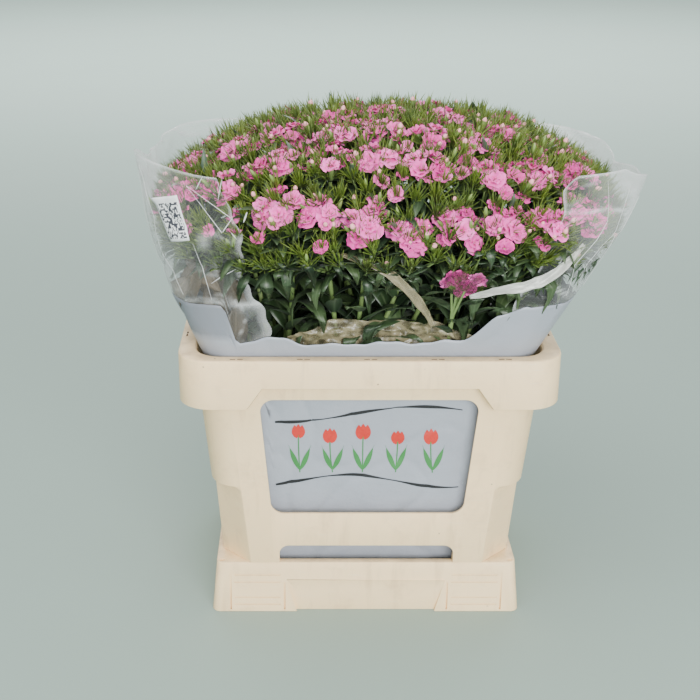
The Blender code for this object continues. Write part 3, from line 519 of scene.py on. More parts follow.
def creamFinish(name, seed):
    form, tree, shader = newFinish(name, 0.5)
    coords = objectCoords(tree)
    moved = addNode(tree, "ShaderNodeMapping", {"Location": (seed, seed * 0.7, seed * 0.3)})
    tree.links.new(coords, moved.inputs["Vector"])
    vector = moved.outputs[0]
    broad = noiseOf(tree, vector, 5.0, 3.0)
    mottle = noiseOf(tree, vector, 34.0, 7.0, rough=0.65)
    streaks = noiseOf(tree, vector, 9.0, 6.0, stretch=(6.0, 6.0, 0.9), rough=0.6)
    fine = noiseOf(tree, vector, 1400.0, 2.0)
    scratches = noiseOf(tree, vector, 14.0, 2.0, stretch=(2.0, 2.0, 42.0))
    colour = mixColour(tree, broad, (0.970, 0.705, 0.395), (0.985, 0.765, 0.455))
    colour = mixColour(tree, remap(tree, mottle, 0.52, 0.78, 0.0, 0.42), colour, (0.62, 0.43, 0.24))
    colour = mixColour(tree, remap(tree, streaks, 0.56, 0.76, 0.0, 0.36), colour, (0.50, 0.35, 0.20))
    colour = mixColour(tree, remap(tree, scratches, 0.66, 0.70, 0.0, 0.20), colour, (0.93, 0.84, 0.70))
    normal = addNode(tree, "ShaderNodeNewGeometry").outputs["Normal"]
    apart = addNode(tree, "ShaderNodeSeparateXYZ")
    tree.links.new(normal, apart.inputs[0])
    upward = remap(tree, apart.outputs["Z"], 0.6, 0.95)
    dust = doMath(tree, "MULTIPLY", upward, remap(tree, mottle, 0.35, 0.68, 0.15, 0.62))
    colour = mixColour(tree, dust, colour, (0.46, 0.34, 0.20))
    specks = addNode(tree, "ShaderNodeTexVoronoi", {"Scale": 46.0})
    tree.links.new(vector, specks.inputs["Vector"])
    rare = noiseOf(tree, vector, 21.0, 1.0)
    spot = doMath(tree, "MULTIPLY", remap(tree, specks.outputs["Distance"], 0.075, 0.045),
                  remap(tree, rare, 0.54, 0.60))
    colour = mixColour(tree, doMath(tree, "MULTIPLY", spot, 0.85), colour, (0.13, 0.08, 0.045))
    paint(tree, shader, colour)
    tree.links.new(remap(tree, mottle, 0.3, 0.7, 0.40, 0.60), shader.inputs["Roughness"])
    shader.inputs["Subsurface Weight"].default_value = 0.06
    shader.inputs["Subsurface Radius"].default_value = (0.006, 0.004, 0.003)
    height = doMath(tree, "ADD", fine, doMath(tree, "MULTIPLY", broad, 3.0))
    addBump(tree, shader, height, 0.10, 0.0006)
    return form


def slotShadeFinish():
    # the shallow slot cuts are painted dark brown: painted shade standing in for the dark down in the slots
    finish, tree, shader = newFinish("slotGrime", 0.9)
    grain = noiseOf(tree, objectCoords(tree), 300.0, 3.0)
    paint(tree, shader, mixColour(tree, grain, (0.10, 0.065, 0.04), (0.22, 0.15, 0.09)))
    return finish


def cavityHalf(height):
    form = trayForm
    share = (height - form["floor"]) / (form["height"] - form["floor"])
    return shifted(form["topHalf"], -form["rim"] - form["cavityTaper"] * (1 - share))


def pocketCutter(sign):
    form = trayForm
    face = form["footHalf"][1]
    out = face + form["pocketDepth"]
    drop = (face - form["topHalf"][1]) * form["pocketTop"] / form["height"]
    deep = face - form["pocketDepth"]
    section = ((out, form["pocketTop"]), (face - drop, form["pocketTop"]), (deep, form["pocketLedge"]),
               (deep, -form["floor"]), (out, -form["floor"]))
    widths = (form["pocketTopHalf"],) * 2 + (form["pocketFootHalf"],) * 3
    left = [(-w, -sign * y, z) for (y, z), w in zip(section, widths)]
    right = [(w, -sign * y, z) for (y, z), w in zip(section, widths)]
    cutter = addPiece("cutter", left + right, prismFaces(len(section)), smoothShade=False)
    shape = bmesh.new()
    shape.from_mesh(cutter.data)
    bmesh.ops.recalc_face_normals(shape, faces=shape.faces)
    shape.to_mesh(cutter.data)
    shape.free()
    return cutter


def trayFace(height):
    return blend(trayForm["footHalf"][1], trayForm["topHalf"][1], height / trayForm["height"])


def grooveCutters():
    # the grooves across each ribbed pad, those beside it, and the moulded hole on each ledge
    form, cutters = trayForm, []
    half, (holeX, holeY) = form["grooveWidth"] / 2, form["holePlace"]
    for sign in (1, -1):
        reach = -sign * (form["footHalf"][1] + form["grooveReach"])
        for side in (1, -1):
            xs = sorted(side * x for x in form["padSpan"])
            for z in form["padGrooves"]:
                ys = sorted((-sign * (trayFace(z) - form["grooveDepth"]), reach))
                cutters.append(boxOf((xs[0], ys[0], z - half), (xs[1], ys[1], z + half)))
            ys = sorted((-sign * (trayFace(form["pocketTop"]) - form["grooveDepth"]), reach))
            for place, top in form["uprights"]:
                low, high = side * place - half, side * place + half
                cutters.append(boxOf((low, ys[0], form["uprightFoot"]), (high, ys[1], top)))
        for side in (1, -1):
            x, y, (halfX, halfY) = side * holeX, -sign * holeY, form["holeHalf"]
            cutters.append(boxOf((x - halfX, y - halfY, form["height"] - form["holeDepth"]),
                                 (x + halfX, y + halfY, 0.07)))
    return cutters


def buildTray(finish):
    form = trayForm
    rings = [ringOf(cavityHalf(form["floor"]), form["cavityChamfer"], form["floor"], True),
             ringOf(cavityHalf(form["height"]), form["cavityChamfer"], form["height"], True),
             ringOf(form["topHalf"], form["corner"], form["height"]),
             ringOf(form["footHalf"], form["corner"], 0.0)]
    tray = loftRings("tray", list(reversed(rings)))
    cutAway(tray, [pocketCutter(1), pocketCutter(-1)])
    easeEdges(tray, form["edge"])
    cutAway(tray, grooveCutters())
    tray.data.set_sharp_from_angle(angle=sharpAngle)
    tray.data.materials.clear()
    tray.data.materials.append(finish)
    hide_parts("container_base")
    return tray


def slotCutters():
    # pairs of slots along the front and back rim, then along both ends
    form = collarForm
    long, wide, deep = form["slotSize"]
    top, cutters = form["rimTop"], []
    for turned, (pairs, inset) in enumerate(zip(form["slotPairs"], form["slotInset"])):
        halfX, halfY = (wide / 2, long / 2) if turned else (long / 2, wide / 2)
        for pair in range(pairs):
            for side in (-1, 1):
                along = (pair - (pairs - 1) / 2) * form["slotPitch"] + side * form["slotSpacing"] / 2
                for sign in (-1, 1):
                    out = sign * (form["rimHalf"][1 - turned] - inset)
                    x, y = (out, along) if turned else (along, out)
                    cutters.append(boxOf((x - halfX, y - halfY, top - deep),
                                         (x + halfX, y + halfY, top + deep)))
    return cutters


def buildCollar(finish):
    form = collarForm
    marks = (form["earEnd"], form["earStart"])
    wall, top = form["wall"], form["rimTop"]
    plug = shifted(cavityHalf(trayForm["height"]), -form["plugGap"])
    foot = trayForm["height"] + form["gap"]
    plugEnd = foot - form["plugDepth"]
    inner = shifted(form["wallTopHalf"], -wall)
    rimHalf, rimCorner = form["rimHalf"], form["rimCorner"]
    arc = [(1 - math.cos(angle), 1 - math.sin(angle)) for angle in (0.0, 0.5, 1.0, math.pi / 2)]
    rows = [(shifted(rimHalf, -0.003 * out), rimCorner, top - 0.003 * down, False, None)
            for out, down in reversed(arc)]
    rows += [
        (rimHalf, rimCorner, form["apronCorner"], False, form["apronMiddle"]),
        (shifted(rimHalf, -wall), rimCorner - wall, form["apronCorner"], False, form["apronMiddle"]),
        (shifted(rimHalf, -wall), rimCorner - wall, top - form["flange"], False, None),
        (form["wallTopHalf"], form["wallCorner"], top - form["flange"], False, None),
        (form["stepHalf"], form["wallCorner"], form["stepHigh"], False, None),
        (form["chamferTopHalf"], form["chamferTop"], form["stepLow"], True, None),
        (form["footHalf"], form["chamferFoot"], foot, True, None),
        (plug, trayForm["cavityChamfer"], foot, True, None),
        (shifted(plug, -form["plugGap"]), trayForm["cavityChamfer"], plugEnd, True, None),
        (shifted(plug, -form["plugGap"] - wall), trayForm["cavityChamfer"], plugEnd, True, None),
        (shifted(plug, -wall), trayForm["cavityChamfer"], form["plugTop"], True, None),
        (shifted(form["footHalf"], -wall), form["chamferFoot"], form["plugTop"] + 2 * wall, True, None),
        (shifted(form["chamferTopHalf"], -wall), form["chamferTop"], form["stepLow"] + wall, True, None),
        (shifted(form["stepHalf"], -wall), form["wallCorner"], form["stepHigh"] + wall, False, None),
        (inner, form["wallCorner"] - wall, top - 0.002, False, None),
        (shifted(inner, 0.002), form["wallCorner"] - wall, top, False, None),
    ]
    rings = [ringOf(half, corner, z, chamfer, marks, middle) for half, corner, z, chamfer, middle in rows]
    collar = loftRings("collarShell", list(reversed(rings)), closed=True)
    collar.data.materials.append(finish)
    cutters = []
    for place, cut in ((acrossY, 0.0), (acrossX, form["sideCut"])):
        window = roundedOutline(form["windowTopHalf"] - cut, form["windowFootHalf"] - cut,
                                form["windowFoot"], form["windowTop"], *(form["windowCorner"],) * 2)
        notch = roundedOutline(form["notchHalf"] - cut, form["notchHalf"] - cut, form["notchFoot"],
                               form["notchTop"], form["notchCorner"], 0)
        cutters += [prismOf(outline, place, rimHalf[0] - 0.001) for outline in (window, notch)]
    cutAway(collar, cutters)
    easeEdges(collar, form["edge"])
    # the slot cuts take the painted shade finish
    slotShade, slots = slotShadeFinish(), slotCutters()
    for slot in slots:
        slot.data.materials.append(slotShade)
    cutAway(collar, slots, keepFinish=True)
    collar.data.set_sharp_from_angle(angle=sharpAngle)
    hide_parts("collar")
    return collar


tray = buildTray(creamFinish("creamTray", 3.1))
collar = buildCollar(creamFinish("creamCollar", 0.4))
print("container", len(tray.data.polygons), len(collar.data.polygons))


# Film sleeve: sections of (height, half width, half depth, corner, shift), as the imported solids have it

sleeveForm = {
    "sections": ((0.056, 0.159, 0.113, 0.050, 0.0), (0.140, 0.168, 0.126, 0.050, 0.0),
                 (0.290, 0.1775, 0.135, 0.050, 0.0), (0.345, 0.2015, 0.1475, 0.040, 0.0),
                 (0.410, 0.235, 0.164, 0.060, 0.004), (0.500, 0.273, 0.190, 0.080, 0.017),
                 (0.590, 0.293, 0.208, 0.100, 0.025)),
    "cornerSteps": 12, "frontSteps": 72, "sideSteps": 46, "backSteps": 60,
    "frontShares": (-1.0, -0.93, -0.62, -0.42, -0.1, 0.25, 0.62, 0.82, 1.0),
    "frontEdge": (0.416, 0.367, 0.374, 0.363, 0.366, 0.367, 0.369, 0.404, 0.414),
    "sideEdge": 0.412,
    "clearPlaces": (0.0, 0.4, 1.0, 1.2, 1.85, 2.0, 2.33, 2.47, 3.0, 3.3, 3.55, 4.0, 5.0, 6.0, 7.0, 7.3,
                    7.65, 8.0),
    "clearTops": (0.582, 0.587, 0.576, 0.563, 0.568, 0.575, 0.582, 0.574, 0.557, 0.550, 0.547, 0.550,
                  0.555, 0.556, 0.555, 0.553, 0.562, 0.582),
    "whiteRows": 74, "clearRows": 44,
}
filmThickness = 0.0003


def filmSection(height):
    sections = sleeveForm["sections"]
    for low, high in zip(sections, sections[1:]):
        if height <= high[0] or high is sections[-1]:
            share = (height - low[0]) / (high[0] - low[0])
            return tuple(blend(a, b, share) for a, b in zip(low, high))


def filmStations():
    # (side, share along it, whether it is a corner), from the front left corner on
    stations = []
    steps = (sleeveForm["frontSteps"], sleeveForm["sideSteps"], sleeveForm["backSteps"],
             sleeveForm["sideSteps"])
    for side in range(4):
        count = sleeveForm["cornerSteps"]
        stations += [(side, step / count, True) for step in range(count + 1)]
        stations += [(side, 2 * step / steps[side] - 1, False) for step in range(1, steps[side])]
    return stations


def filmPoint(station, height, inset=0.0):
    side, share, isCorner = station
    _, halfX, halfY, corner, shift = filmSection(height)
    halfX, halfY, corner = halfX - inset, halfY - inset, corner - inset
    along, out = (halfX, halfY) if side % 2 == 0 else (halfY, halfX)
    if isCorner:
        angle = math.pi * (1 + share / 2)
        flat = (-along + corner * (1 + math.cos(angle)), -out + corner * (1 + math.sin(angle)), height)
    else:
        flat = (share * (along - corner), -out, height)
    return Matrix.Rotation(side * math.pi / 2, 3, "Z") @ Vector(flat) + Vector((shift, 0, 0))


def ridge(point, scale, power, seed):
    value = noise.noise(Vector(point) * scale + Vector((seed, seed * 1.7, seed * 0.6)))
    return (1 - min(abs(value) * 2.2, 1.0)) ** power


def filmCrease(point, height):
    # how far the film is pushed in or out there, small inside the container and freer above it
    free = smooth(0.33, 0.44, height)
    soft = noise.noise(Vector(point) * 9.0) * blend(0.0016, 0.0040, free)
    tall = noise.noise(Vector((point[0] * 26, point[1] * 26, point[2] * 5))) * blend(0.0014, 0.0022, free)
    sharp = ridge(point, 15.0, 5.0, 4.2) * blend(0.0018, 0.0032, free)
    return soft + tall - sharp


def filmSurface(station, height, lift=0.0):
    place = filmPoint(station, height)
    out = (place - filmPoint(station, height, 0.01)).normalized()
    tight = smooth(0.30, 0.345, height) * (1 - smooth(0.352, 0.40, height))
    push = filmCrease(place, height) * (1 - 0.8 * tight) - 0.0012
    return place + out * (push + lift)


def frontEdgeHeight(share):
    shares, heights = sleeveForm["frontShares"], sleeveForm["frontEdge"]
    for index in range(len(shares) - 1):
        if share <= shares[index + 1]:
            t = (share - shares[index]) / (shares[index + 1] - shares[index])
            return blend(heights[index], heights[index + 1], t * t * (3 - 2 * t))
    return heights[-1]


def whiteTop(station):
    side, share, isCorner = station
    scallop = 0.0018 * math.sin(share * 15.0 + side) + 0.0007 * math.sin(share * 41.0)
    if side == 0 and not isCorner:
        return frontEdgeHeight(share) + scallop + 0.011 * math.exp(-((share + 0.972) / 0.016) ** 2)
    if isCorner and side in (0, 1):
        return sleeveForm["frontEdge"][0 if side == 0 else -1] + 0.001 * math.sin(share * 9)
    return sleeveForm["sideEdge"] + scallop


def gridPiece(name, rows, veil, finish, closed=False):
    # rows of points, and at each point how much the film hides
    points = [point for row in rows for point in row]
    piece = addPiece(name, points, gridFaces(len(rows[0]), len(rows), closed), finish)
    setValues(piece, "veil", [value for row in veil for value in row])
    return thicken(piece, filmThickness)


def sheetArea(piece):
    return sum(face.area for face in piece.data.polygons) / 2


def filmFinish(name, low, high, rough, gloss, edgeOnSheen=0.0):
    # the veil attribute is how much the film hides
    finish, tree, shader = newFinish(name, rough)
    coords = objectCoords(tree)
    # the noise mixes a darker and a lighter colour; on the brown and pale loose film this is partly their
    # own colour, partly painted light and shade on the crinkles
    toneAndPaintedLight = noiseOf(tree, coords, 16.0, 5.0)
    crinkle = noiseOf(tree, coords, 46.0, 5.0, rough=0.6)
    paint(tree, shader, mixColour(tree, toneAndPaintedLight, low, high))
    veil = attributeOf(tree, "veil")
    if edgeOnSheen:
        # where the film is seen edge-on it is made more opaque and so whiter: partly its longer path
        # through the milky film, partly painted sheen
        edgeOn = addNode(tree, "ShaderNodeLayerWeight", {"Blend": 0.5}).outputs["Facing"]
        paintedSheen = doMath(tree, "MULTIPLY", doMath(tree, "POWER", edgeOn, 3.0), edgeOnSheen)
        veil = doMath(tree, "ADD", veil, paintedSheen)
    alpha = addNode(tree, "ShaderNodeClamp", {"Max": 1.0})
    tree.links.new(veil, alpha.inputs["Value"])
    tree.links.new(alpha.outputs[0], shader.inputs["Alpha"])
    shader.inputs["Specular IOR Level"].default_value = gloss
    addBump(tree, shader, crinkle, 0.35, 0.004)
    return finish


def buildWhiteSleeve():
    stations = filmStations()
    rows, veil = [], []
    count = sleeveForm["whiteRows"]
    for row in range(count + 1):
        share = row / count
        places, shown = [], []
        for station in stations:
            top = whiteTop(station)
            height = blend(sleeveForm["sections"][0][0], top, share)
            places.append(filmSurface(station, height))
            leftFront = station[0] == 0 and (station[2] or station[1] < -0.90)
            frosted = leftFront * smooth(0.368, 0.378, height)
            shown.append(1.0 - 0.45 * frosted)
        rows.append(places)
        veil.append(shown)
    finish = filmFinish("whiteFilm", (0.29, 0.318, 0.370), (0.37, 0.398, 0.452), 0.42, 0.6)
    sleeve = gridPiece("whiteSleeve", rows, veil, finish, closed=True)
    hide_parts("sleeve_white")
    return sleeve


def frontReach(side, share):
    # how far the torn front edges of the clear film reach past the corner, as a share of the half front
    if side < 0:
        return 0.30 - 0.24 * share + 0.030 * math.sin(share * 11) + 0.012 * math.sin(share * 37)
    return 0.06 + 0.05 * (1 - share) + 0.02 * math.sin(share * 14)


def clearTop(station):
    # places run 0 to 8 round the sleeve, a corner and a side in turn
    side, share, isCorner = station
    place = side * 2 + (share if isCorner else 1 + (share + 1) / 2)
    return float(np.interp(place, sleeveForm["clearPlaces"], sleeveForm["clearTops"]))


def buildClearSleeve():
    # from the front right corner round the back to the front left corner, and a little past both
    stations = filmStations()
    first = stations.index((1, 0.0, True))
    last = stations.index((0, 1.0, True))
    middle = stations[first:] + stations[:last + 1]
    rows, veil = [], []
    count, spare = sleeveForm["clearRows"], 12
    for row in range(count + 1):
        places, shown = [], []
        share = row / count
        loop = [(0, 1 - frontReach(1, share) * (1 - k / spare), False) for k in range(spare)]
        loop += middle + [(0, -1 + frontReach(-1, share) * (k + 1) / spare, False) for k in range(spare)]
        for index, station in enumerate(loop):
            ends = min(index, len(loop) - 1 - index) / spare
            top = clearTop(station) - 0.014 * max(0, 1 - ends) ** 1.3 + 0.0022 * math.sin(index * 0.23)
            low = whiteTop(station) + 0.0008
            height = blend(low, top, share)
            place = filmSurface(station, height)
            places.append(place)
            # thin noise ridges make the film whiter and more opaque: painted glints along its creases
            paintedGlint = ridge(place, 9.0, 14.0, 7.7) + 0.7 * ridge(place, 19.0, 16.0, 2.1)
            torn = max(0, 1 - ends * 4)
            rim = smooth(0.975, 1.0, share) * 0.25 + 0.22 * torn
            # the sides, where the film turns edge-on, are made whiter in the same way, partly for thickness
            # and partly as painted sheen; the back gets a little more opacity too
            wing = (0.10 * smooth(0.20, 0.27, place.x) + 0.07 * smooth(0.19, 0.24, -place.x)
                    + 0.10 * (station[0] == 2))
            shown.append(min(0.025 + wing + 0.30 * paintedGlint * paintedGlint + rim, 0.92))
        rows.append(places)
        veil.append(shown)
    finish = filmFinish("clearFilm", (0.84, 0.87, 0.88), (0.95, 0.97, 0.98), 0.12, 1.0, edgeOnSheen=0.30)
    sleeve = gridPiece("clearSleeve", rows, veil, finish)
    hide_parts("sleeve_clear")
    return sleeve


whiteSleeve = buildWhiteSleeve()
clearSleeve = buildClearSleeve()
print("film sleeve, square metres:", round(sheetArea(whiteSleeve), 4), round(sheetArea(clearSleeve), 4))


# Painted glints on the clear film: thin near-white strips laid along its folds, standing in for the light
# the folds reflect; paths of (side, share, is a corner, height)

glintForm = {
    "lift": 0.0009, "steps": 10, "narrow": 0.55, "keel": 0.0004, "veil": (0.45, 0.85, 0.45),
    "paths": (
        (((0, 0.783, True, 0.564), (0, -0.90, False, 0.526), (0, -0.95, False, 0.510),
          (0, 0.783, True, 0.564)), 0.0009),
        (((0, 0.908, True, 0.576), (0, 0.858, True, 0.560)), 0.0010),
        (((0, -0.967, False, 0.573), (0, -0.983, False, 0.548)), 0.0009),
        (((0, -0.817, False, 0.534), (0, -0.833, False, 0.522)), 0.0018),
        (((0, -0.900, False, 0.510), (0, -0.867, False, 0.502)), 0.0011),
        (((0, 0.933, True, 0.446), (0, -0.967, False, 0.456), (0, -0.883, False, 0.464)), 0.0010),
        (((0, -0.883, False, 0.452), (0, -0.817, False, 0.444)), 0.0009),
        (((0, 0.817, True, 0.496), (0, 0.870, True, 0.460), (0, 0.908, True, 0.424)), 0.0007),
        (((0, 0.30, True, 0.575), (0, 0.42, True, 0.520), (0, 0.36, True, 0.470), (0, 0.52, True, 0.425)),
         0.0007),
        (((0, 0.10, True, 0.560), (0, 0.18, True, 0.500), (0, 0.05, True, 0.440)), 0.0007),
        (((1, 0.042, True, 0.478), (1, 0.060, True, 0.458)), 0.0014),
        (((1, 0.20, True, 0.570), (1, 0.33, True, 0.520), (1, 0.22, True, 0.468), (1, 0.40, True, 0.425)),
         0.0008),
        (((1, 0.45, True, 0.560), (1, 0.52, True, 0.505), (1, 0.40, True, 0.450)), 0.0008),
        (((1, 0.70, True, 0.540), (1, 0.62, True, 0.490), (1, 0.74, True, 0.430)), 0.0007),
    ),
}


def buildPaintedGlints():
    form = glintForm
    points, faces = [], []
    for path, half in form["paths"]:
        surfaces = [filmSurface((side, share, corner), height, form["lift"])
                    for side, share, corner, height in path]
        outs = [filmSurface((side, share, corner), height, 0.02) - place
                for (side, share, corner, height), place in zip(path, surfaces)]
        start, count = len(points), 0
        total = form["steps"] * (len(path) - 1)
        for part in range(len(path) - 1):
            (side, share, corner, height), last = path[part:part + 2]
            along = (surfaces[part + 1] - surfaces[part]).normalized()
            for step in range(form["steps"] + (part == len(path) - 2)):
                t = step / form["steps"]
                if (side, corner) == (last[0], last[2]):
                    station = (side, blend(share, last[1], t), corner)
                    place = filmSurface(station, blend(height, last[3], t), form["lift"])
                else:
                    place = surfaces[part].lerp(surfaces[part + 1], t)
                out = outs[part].lerp(outs[part + 1], t).normalized()
                beside = out.cross(along).normalized()
                swell = 0.25 + 0.75 * math.sin(math.pi * (count + 0.5) / (total + 1))
                width = form["narrow"] * half * swell
                points += [place - beside * width, place + out * form["keel"], place + beside * width]
                count += 1
        faces += [tuple(start + i for i in face) for face in gridFaces(3, count)]
    # near-white, fairly opaque strips: a painted highlight
    finish = filmFinish("creaseFilm", (0.86, 0.88, 0.88), (0.97, 0.98, 0.98), 0.25, 1.0)
    piece = addPiece("filmCreases", points, faces, finish)
    setValues(piece, "veil", list(form["veil"]) * (len(points) // 3))
    return piece


paintedGlints = buildPaintedGlints()


# Print on the white film, seen through the front and back windows

printForm = {
    "lift": 0.0005, "linePlaces": ((0.268, 0.0105, 19.0, 0.4), (0.176, 0.0085, 26.0, 2.2)),
    "lineWidth": 0.0042, "bloomPlaces": (-0.084, -0.046, -0.006, 0.036, 0.076),
    "bloomHeight": 0.236, "bloomSize": 0.0125,
    "stemFoot": 0.188, "stemWidth": 0.0014, "stemSteps": 9, "bladeSteps": 8, "bladeRise": 0.034,
    "lineSpan": range(-112, 113, 4),
}


def printPoint(x, z, back):
    _, halfX, _, corner, _ = filmSection(z)
    station = (2 if back else 0, x / (halfX - corner), False)
    return filmSurface(station, z, printForm["lift"])


def printStrip(points, faces, path, widths, back):
    # path is a list of (x, z), widths one half width a point
    start = len(points)
    for index, (x, z) in enumerate(path):
        before, after = path[max(index - 1, 0)], path[min(index + 1, len(path) - 1)]
        along = Vector((after[0] - before[0], after[1] - before[1])).normalized()
        for side in (1, 0, -1):
            offset = widths[index] * side
            points.append(printPoint(x - along.y * offset, z + along.x * offset, back))
    for index in range(len(path) - 1):
        for side in range(2):
            a = start + index * 3 + side
            faces.append((a, a + 1, a + 4, a + 3))


def inkFinish(name, low, high):
    finish, tree, shader = newFinish(name, 0.38)
    grain = noiseOf(tree, objectCoords(tree), 420.0, 3.0)
    paint(tree, shader, mixColour(tree, grain, low, high))
    addBump(tree, shader, grain, 0.05, 0.0004)
    return finish


def buildPrint():
    form = printForm
    inks = {"Lines": ([], []), "Leaves": ([], []), "Tulips": ([], [])}
    draw = random.Random(21)
    stemSteps = [step / form["stemSteps"] for step in range(form["stemSteps"] + 1)]
    shares = [step / form["bladeSteps"] for step in range(form["bladeSteps"] + 1)]
    for back in (False, True):
        for height, swing, pace, phase in form["linePlaces"]:
            xs = [x / 1000 for x in form["lineSpan"]]
            path = [(x, height + swing * math.sin(x * pace + phase)) for x in xs]
            widths = [form["lineWidth"] / 2 * (0.65 + 0.35 * math.sin(index * 0.31))
                      for index in range(len(path))]
            printStrip(*inks["Lines"], path, widths, back)
        for x in form["bloomPlaces"]:
            size = form["bloomSize"] * draw.uniform(0.88, 1.1)
            top = form["bloomHeight"] + draw.uniform(-0.006, 0.008)
            lean = draw.uniform(-0.006, 0.006)
            stem = [(x + lean * (1 - s) ** 2, blend(form["stemFoot"], top, s)) for s in stemSteps]
            printStrip(*inks["Leaves"], stem, [form["stemWidth"] / 2] * len(stem), back)
            for side in (-1, 1):
                blade = [(x + lean + side * 0.0135 * s ** 0.8,
                          form["stemFoot"] + 0.004 + form["bladeRise"] * s) for s in shares]
                widths = [0.0030 * math.sin(math.pi * min(s + 0.12, 1.0)) + 0.0001 for s in shares]
                printStrip(*inks["Leaves"], blade, widths, back)
            for side, grow in ((-0.42, 0.92), (0.42, 0.92), (0.0, 1.0)):
                petal = [(x + side * size * s ** 0.5 * (1.25 - 0.3 * s),
                          top - 0.002 + 1.5 * size * grow * s)
                         for s in shares]
                widths = [0.40 * size * math.sin(math.pi * (0.22 + 0.76 * s)) for s in shares]
                printStrip(*inks["Tulips"], petal, widths, back)
    colours = {"Lines": ((0.010, 0.010, 0.012), (0.022, 0.022, 0.025)),
               "Leaves": ((0.035, 0.19, 0.045), (0.055, 0.26, 0.07)),
               "Tulips": ((0.50, 0.022, 0.018), (0.66, 0.045, 0.03))}
    pieces = []
    for label, (points, faces) in inks.items():
        piece = addPiece("print" + label, points, faces, inkFinish("ink" + label, *colours[label]))
        pieces.append(piece)
    return pieces


prints = buildPrint()


# Label on the film: a bent white sticker with a scatter of square dots

labelForm = {"places": (((0.467, 0.544), (0.708, 0.552)), ((0.600, 0.495), (0.800, 0.500))), "lift": 0.0022,
             "thickness": 0.0002, "dots": (22.0, 30.0), "columns": 10, "rows": 16, "bend": 0.0010}


def labelFinish():
    finish, tree, shader = newFinish("labelPaper", 0.45)
    uv = addNode(tree, "ShaderNodeUVMap", uv_map="UVMap").outputs[0]
    across, down = labelForm["dots"]
    grow = addNode(tree, "ShaderNodeVectorMath", {1: (across, down, 1.0)}, operation="MULTIPLY")
    snap = addNode(tree, "ShaderNodeVectorMath", operation="FLOOR")
    scatter = addNode(tree, "ShaderNodeTexWhiteNoise", noise_dimensions="2D")
    tree.links.new(uv, grow.inputs[0])
    tree.links.new(grow.outputs[0], snap.inputs[0])
    tree.links.new(snap.outputs[0], scatter.inputs["Vector"])
    dark = doMath(tree, "GREATER_THAN", scatter.outputs["Value"], 0.50)
    apart = addNode(tree, "ShaderNodeSeparateXYZ")
    tree.links.new(uv, apart.inputs[0])
    for axis, low, high in (("X", 0.07, 0.93), ("Y", 0.06, 0.86)):
        dark = doMath(tree, "MULTIPLY", dark, doMath(tree, "GREATER_THAN", apart.outputs[axis], low))
        dark = doMath(tree, "MULTIPLY", dark, doMath(tree, "LESS_THAN", apart.outputs[axis], high))
    grain = noiseOf(tree, objectCoords(tree), 600.0, 3.0)
    paper = mixColour(tree, grain, (0.78, 0.79, 0.81), (0.86, 0.87, 0.88))
    paint(tree, shader, mixColour(tree, dark, paper, (0.045, 0.045, 0.06)))
    addBump(tree, shader, grain, 0.08, 0.0004)
    return finish


def buildLabel():
    # the four corners of the label lie on the film, and it is laid between them
    form = labelForm
    (topLeft, topRight), (footLeft, footRight) = form["places"]
    rows, uvs = [], []
    for row in range(form["rows"] + 1):
        up = row / form["rows"]
        line = []
        for column in range(form["columns"] + 1):
            x = column / form["columns"]
            share, height = (blend(blend(footLeft[k], footRight[k], x),
                                   blend(topLeft[k], topRight[k], x), up) for k in (0, 1))
            curl = 0.004 * smooth(0.75, 1.0, up) ** 2 * smooth(0.6, 0.0, x)
            bulge = form["lift"] + form["bend"] * math.sin(math.pi * x) + curl
            flat = filmPoint((0, share, True), height)
            out = (flat - filmPoint((0, share, True), height, 0.01)).normalized()
            line.append(filmSurface((0, share, True), height).lerp(flat, 0.35) + out * bulge)
            uvs.append((x, up))
        rows.append(line)
    points = [point for line in rows for point in line]
    faces = gridFaces(form["columns"] + 1, form["rows"] + 1)
    piece = addPiece("sticker", points, faces, labelFinish())
    layer = piece.data.uv_layers.new(name="UVMap")
    for loop in piece.data.loops:
        layer.data[loop.index].uv = uvs[loop.vertex_index]
    thicken(piece, form["thickness"])
    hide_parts("label")
    return piece


sticker = buildLabel()


# Loose film: the brown crumple along the rim and the torn strips over the leaves

looseForm = {
    "crumpleSpan": (-0.098, 0.122), "crumpleFoot": 0.350, "crumpleRise": 0.042,
    "crumpleDepth": -0.1452, "crumpleColumns": 120, "crumpleRows": 30,
    "stripSteps": 36, "stripColumns": 6,
    "strips": {
        "tornStripMiddle": (((-0.036, -0.192, 0.486), (0.004, -0.200, 0.474), (0.036, -0.196, 0.448),
                             (0.058, -0.184, 0.418), (0.070, -0.166, 0.392)), 0.0052, "brown"),
        "tornStripRight": (((0.108, -0.178, 0.432), (0.140, -0.192, 0.445), (0.172, -0.196, 0.452),
                            (0.203, -0.192, 0.468), (0.232, -0.176, 0.492)), 0.0058, "pale"),
    },
}


def buildCrumple(finish):
    form = looseForm
    rows, veil = [], []
    for row in range(form["crumpleRows"] + 1):
        up = row / form["crumpleRows"]
        places, shown = [], []
        for column in range(form["crumpleColumns"] + 1):
            share = column / form["crumpleColumns"]
            x = blend(*form["crumpleSpan"], share)
            ends = min(share, 1 - share)
            height = 0.55 + 0.45 * smooth(0.0, 0.25, ends) + 0.10 * noise.noise(Vector((x * 40, 2.0, 0)))
            z = blend(form["crumpleFoot"], form["crumpleFoot"] + form["crumpleRise"] * height, up)
            probe = Vector((x * 34, z * 48, 1.3))
            fold = (noise.noise(probe) * 0.0070 + noise.noise(probe * 2.6) * 0.0048
                    + noise.noise(probe * 5.1) * 0.0020)
            fold -= ridge(probe * 0.02, 60.0, 3.0, 5.0) * 0.004
            y = form["crumpleDepth"] + 0.004 + fold * smooth(0.0, 0.3, up) - 0.006 * up
            places.append(Vector((x + noise.noise(probe * 1.7) * 0.003 * up, y,
                                  z + noise.noise(probe * 2) * 0.002 * up)))
            shown.append(0.16 + 0.74 * ridge(probe * 0.03, 75.0, 1.4, 1.0))
        rows.append(places)
        veil.append(shown)
    piece = gridPiece("crumpledFilm", rows, veil, finish)
    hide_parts("torn_film")
    return piece


